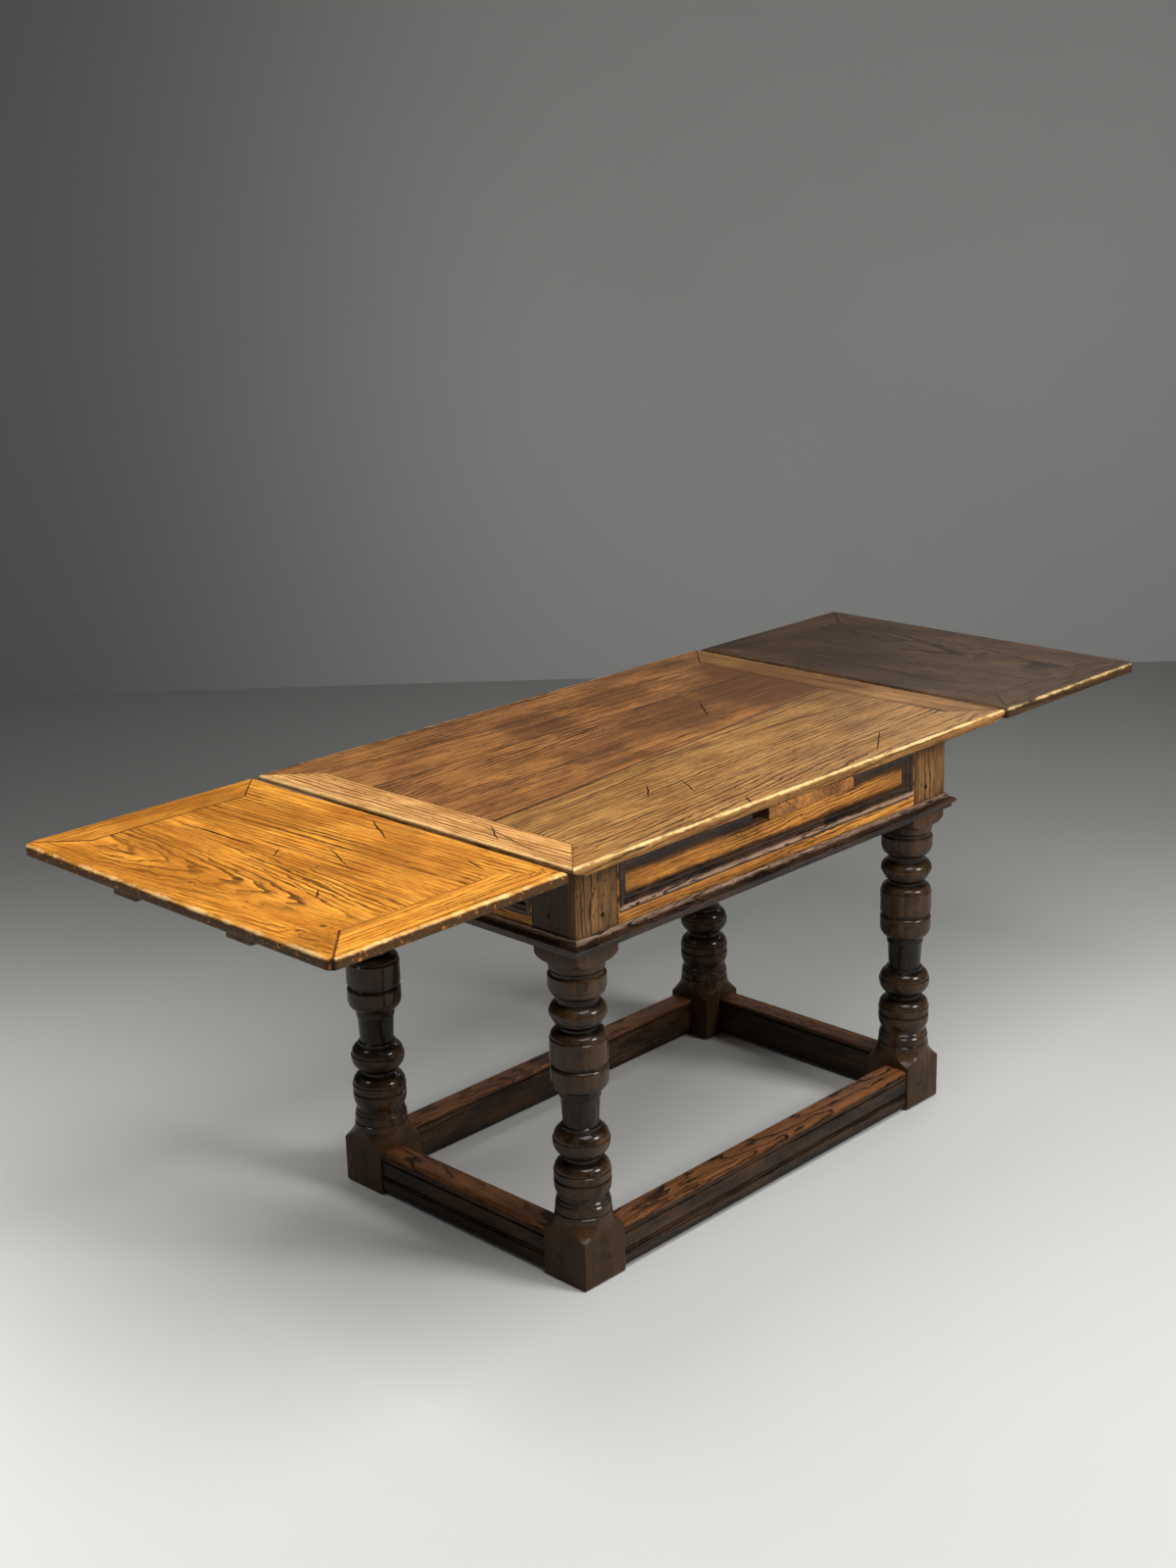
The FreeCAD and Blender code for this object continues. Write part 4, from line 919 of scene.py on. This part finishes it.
class TABLE_OT_stretchers(bpy.types.Operator):
    """Low stretchers, grooved outside, rubbed and given painted light on top, with painted shade
    along the bottom
    """
    bl_idname = "table.stretchers"
    bl_label = "Stretchers"

    def execute(self, context):
        for index, side in enumerate(SIDES):
            node = "stretcher_" + side
            low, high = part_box(node)
            # Lighter along the top: rubbed wear and painted light; darker along the bottom: painted
            # shade near the floor.
            material = oak(node, "frame", RUN[side], (0.01, -0.06, 0.02, 0.05), 70.9 + 2.1 * index,
                           (("Z", high.z, 0.011),), (("Z", low.z, 0.02),),
                           stain=0.25, gloss=0.27, wax=0.15, worn=finish().stretcher_worn)
            put_eased(node, "_rail", material, "frame",
                      wear().stretcher_arris, shortest=0.05, segments=3)
        return {"FINISHED"}


class TABLE_OT_bridge(bpy.types.Operator):
    """Fixed bridge between the leaves, its bearers and pegs"""
    bl_idname = "table.bridge"
    bl_label = "Bridge"

    def execute(self, context):
        low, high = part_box("bridge")
        # Painted shade along both ends of the bridge, where it meets the frieze.
        material = oak("bridge", "core", "Y", (0.13, -0.08, 0.02, 0.03), 80.3,
                       painted_shade_edges=(("X", low.x, 0.004), ("X", high.x, 0.004)),
                       stain=0.7, sway=0.016)
        put_eased("bridge", "_board", material, "frame",
                  wear().bridge_arris, shortest=0.01)
        for index, side in enumerate(("left", "right")):
            node = "bridge_bearer_" + side
            material = oak(node, "inner", "Y", (0.02, -0.05, 0.01, 0.02), 82.9 + index, gloss=0.6)
            put_eased(node, "_rail", material, "frame",
                      wear().bearer_arris, shortest=0.008)
        dress("bridge_pegs", oak("bridge_pegs", "inner", "Z", (0.02, -0.02, 0, 0), 86.3, gloss=0.5,
                                 centre=(0, 0, 0.7)))
        return {"FINISHED"}


class TABLE_OT_lopers(bpy.types.Operator):
    """Tapered lopers with their stop pins, and the guide pegs of the top"""
    bl_idname = "table.lopers"
    bl_label = "Lopers and pins"

    def execute(self, context):
        seed = 90.1
        for side in ("left", "right"):
            for end in ("front", "back"):
                node = "%s_loper_%s" % (side, end)
                material = oak(node, "inner", "X", (0.01, -0.05, 0.01, 0.02), seed, gloss=0.52)
                put_eased(node, "_bar", material, side + "_leaf",
                          wear().loper_arris, shortest=0.02)
                pin = "%s_stop_pin_%s" % (side, end)
                dress(pin, oak(pin, "inner", "Y", (0.01, -0.02, 0, 0), seed + 0.7, gloss=0.45))
                seed += 1.6
        for end in ("front", "back"):
            node = "guide_peg_" + end
            dress(node, oak(node, "inner", "Z", (0.01, -0.02, 0, 0), seed, gloss=0.45))
            seed += 1.1
        return {"FINISHED"}


class TABLE_OT_pegs(bpy.types.Operator):
    """Hand-cut draw-bore pegs of the frame's joints"""
    bl_idname = "table.pegs"
    bl_label = "Pegs"

    def execute(self, context):
        draw = random.Random(17)
        for index, side in enumerate(SIDES):
            node = "pegs_" + side
            low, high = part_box(node)
            back = Matrix.Rotation(SIDE_TURN[side], 3, "Z").inverted()
            corners = [back @ Vector((x, y, z)) for x in (low.x, high.x)
                       for y in (low.y, high.y) for z in (low.z, high.z)]
            near = Vector([min(c[i] for c in corners) for i in range(3)])
            far = Vector([max(c[i] for c in corners) for i in range(3)])
            radius = wear().peg_radius
            bm = bmesh.new()
            for x in (near.x + radius, far.x - radius):
                for z in (near.z + radius, far.z - radius):
                    made = bmesh.ops.create_cone(bm, cap_ends=True, cap_tris=False, segments=9,
                                                 radius1=radius, radius2=radius * 0.92,
                                                 depth=far.y - near.y)["verts"]
                    head = [edge for edge in bm.edges
                            if all(v in made and v.co.z < 0 for v in edge.verts)]
                    bmesh.ops.rotate(bm, verts=made, cent=(0, 0, 0), matrix=(
                        Matrix.Rotation(-math.pi / 2, 3, "X")
                        @ Matrix.Rotation(draw.uniform(0, 6.28), 3, "Z")))
                    bmesh.ops.translate(bm, verts=made, vec=(x, (near.y + far.y) / 2, z))
                    round_edges(bm, head, wear().peg_arris, 2)
            turn_round(bm, SIDE_TURN[side])
            material = oak(node, "frame", "Y" if RUN[side] == "X" else "X",
                           (0.01, -0.02, 0, 0), 110.7 + index, stain=0.8, gloss=0.4, ring=0.4)
            stand_for(settle(node + "_cut", bm, material, PEG_CREASE), node, "frame")
        return {"FINISHED"}


# Half the side of the floor and the backdrop, and how far off the backdrop stands.
STAGE_REACH = 14.0
WALL_AWAY = 3.4


def floor_paint(stage):
    """Pale paint, a little cloudy and scuffed, with painted shade towards the backdrop."""
    graph = Graph("floor_paint")
    cloud = graph.noise(graph.place, (0.7, 0.7, 0.7), 1.0, 4.0, 0.6)
    scuff = graph.step(graph.noise(graph.place, (16, 16, 16), 2.0, 5.0, 0.7), 0.66, 0.78)
    paint = graph.mix(cloud, darker(stage.floor, 0.9), stage.floor)
    paint = graph.mix(scuff, paint, stage.scuff, 0.12)
    x, y, _ = graph.split(graph.place)
    lit = graph.step(graph.math("ADD", x, y), 2.7, 0.3)
    graph.give("Base Color", graph.mix(lit, darker(stage.floor, 0.55), paint))
    graph.give("Roughness", 0.55)
    graph.give("Normal", graph.bump(cloud, 0.001, 0.1))
    return graph.material


def wall_paint(stage):
    """Paint with painted shade to the left, clear from behind."""
    graph = Graph("wall_paint")
    cloud = graph.noise(graph.place, (0.6, 0.6, 0.6), 5.0, 3.0, 0.6)
    paint = graph.mix(cloud, darker(stage.wall, 0.85), stage.wall)
    x, y, _ = graph.split(graph.place)
    lit = graph.step(graph.math("SUBTRACT", x, y), -2.7, -0.1)
    graph.give("Base Color", graph.mix(lit, darker(stage.wall, 0.5), paint))
    graph.give("Roughness", 0.9)
    behind = graph.add("ShaderNodeNewGeometry", output="Backfacing")
    clear = graph.add("ShaderNodeBsdfTransparent")
    seen = graph.add("ShaderNodeMixShader", {0: behind, 1: graph.shader.outputs["BSDF"], 2: clear})
    graph.feed(graph.output.inputs["Surface"], seen)
    return graph.material


def sheet():
    bm = bmesh.new()
    bmesh.ops.create_grid(bm, x_segments=1, y_segments=1, size=STAGE_REACH)
    return bm


def light_stage(scene, stage):
    # Name, power, place, aim, size and spread in degrees.
    lamps = (("overhead", stage.overhead, (-0.6, -1.2, 2.8), (-0.6, -0.8, 0.0), 1.6, 180),
             ("key", stage.key, (0.9, -3.0, 2.2), (0.1, 0.0, 0.4), 1.1, 180),
             ("rim", stage.rim, (2.3, 0.6, 2.3), (-0.2, 0.0, 0.6), 1.2, 180),
             ("fill", stage.fill, (-2.2, 0.8, 2.8), (-2.2, 0.8, 0.0), 1.6, 90))
    for name, power, place, aim, size, spread in lamps:
        lamp = bpy.data.lights.new(name, "AREA")
        lamp.energy = power
        lamp.size = size
        lamp.spread = math.radians(spread)
        lamp.shape = "SQUARE"
        made = bpy.data.objects.new(name, lamp)
        made.matrix_world = (Matrix.Translation(place) @ (Vector(aim) - Vector(place))
                             .to_track_quat("-Z", "Y").to_matrix().to_4x4())
        scene.collection.objects.link(made)
    world = bpy.data.worlds.new("room")
    world.use_nodes = True
    background = world.node_tree.nodes["Background"]
    background.inputs["Color"].default_value = (1.0, 1.0, 1.0, 1.0)
    background.inputs["Strength"].default_value = stage.world
    scene.world = world
    scene.view_settings.view_transform = "Standard"


def place_camera(scene, stage):
    """Camera at its place, turned by azimuth, elevation and roll."""
    level = math.cos(stage.elevation)
    back = Vector((math.sin(stage.azimuth) * level, -math.cos(stage.azimuth) * level,
                   math.sin(stage.elevation)))
    right = Vector((math.cos(stage.azimuth), math.sin(stage.azimuth), 0.0))
    up = back.cross(right)
    lean, keep = math.sin(stage.roll), math.cos(stage.roll)
    basis = Matrix((right * keep + up * lean, up * keep - right * lean, back))
    lens = bpy.data.cameras.new("camera")
    lens.sensor_fit = "HORIZONTAL"
    lens.sensor_width = 36.0
    lens.lens = stage.lens
    lens.clip_end = 100.0
    camera = bpy.data.objects.new("camera", lens)
    camera.matrix_world = Matrix.Translation(stage.eye) @ basis.transposed().to_4x4()
    scene.collection.objects.link(camera)
    scene.camera = camera


class TABLE_OT_stage(bpy.types.Operator):
    """Pale floor and backdrop, soft lights and the camera"""
    bl_idname = "table.stage"
    bl_label = "Stage"

    def execute(self, context):
        stage = context.scene.table_stage
        floor = settle("floor", sheet(), floor_paint(stage))
        bm = sheet()
        turn_round(bm, math.pi / 2, "X")
        turn_round(bm, -math.pi / 4)
        away = Vector((1.0, 1.0, 0.0)).normalized()
        bmesh.ops.translate(bm, verts=bm.verts, vec=away * WALL_AWAY)
        wall = settle("backdrop", bm, wall_paint(stage))
        light_stage(context.scene, stage)
        place_camera(context.scene, stage)
        return {"FINISHED"}


STEPS = (TABLE_OT_top, TABLE_OT_leaves, TABLE_OT_legs, TABLE_OT_friezes, TABLE_OT_mouldings,
         TABLE_OT_stretchers, TABLE_OT_bridge, TABLE_OT_lopers, TABLE_OT_pegs, TABLE_OT_stage)


class TABLE_PT_sidebar(bpy.types.Panel):
    """Lists the steps that dress the table"""
    bl_idname = "TABLE_PT_sidebar"
    bl_label = "Table"
    bl_space_type = "VIEW_3D"
    bl_region_type = "UI"
    bl_category = "Table"

    def draw(self, context):
        for step in STEPS:
            self.layout.operator(step.bl_idname)
        for group in (context.scene.table_finish, context.scene.table_wear,
                      context.scene.table_stage):
            column = self.layout.column()
            for key in group.__annotations__:
                column.prop(group, key)


CLASSES = (TableFinish, TableWear, TableStage, *STEPS, TABLE_PT_sidebar)


def register():
    for kind in CLASSES:
        bpy.utils.register_class(kind)
    bpy.types.Scene.table_finish = PointerProperty(type=TableFinish)
    bpy.types.Scene.table_wear = PointerProperty(type=TableWear)
    bpy.types.Scene.table_stage = PointerProperty(type=TableStage)


def unregister():
    del bpy.types.Scene.table_stage
    del bpy.types.Scene.table_wear
    del bpy.types.Scene.table_finish
    for kind in reversed(CLASSES):
        bpy.utils.unregister_class(kind)


def main():
    register()
    bpy.ops.table.top()
    bpy.ops.table.leaves()
    bpy.ops.table.legs()
    bpy.ops.table.friezes()
    bpy.ops.table.mouldings()
    bpy.ops.table.stretchers()
    bpy.ops.table.bridge()
    bpy.ops.table.lopers()
    bpy.ops.table.pegs()
    bpy.ops.table.stage()
    bpy.context.view_layer.update()


if __name__ == "__main__":
    main()
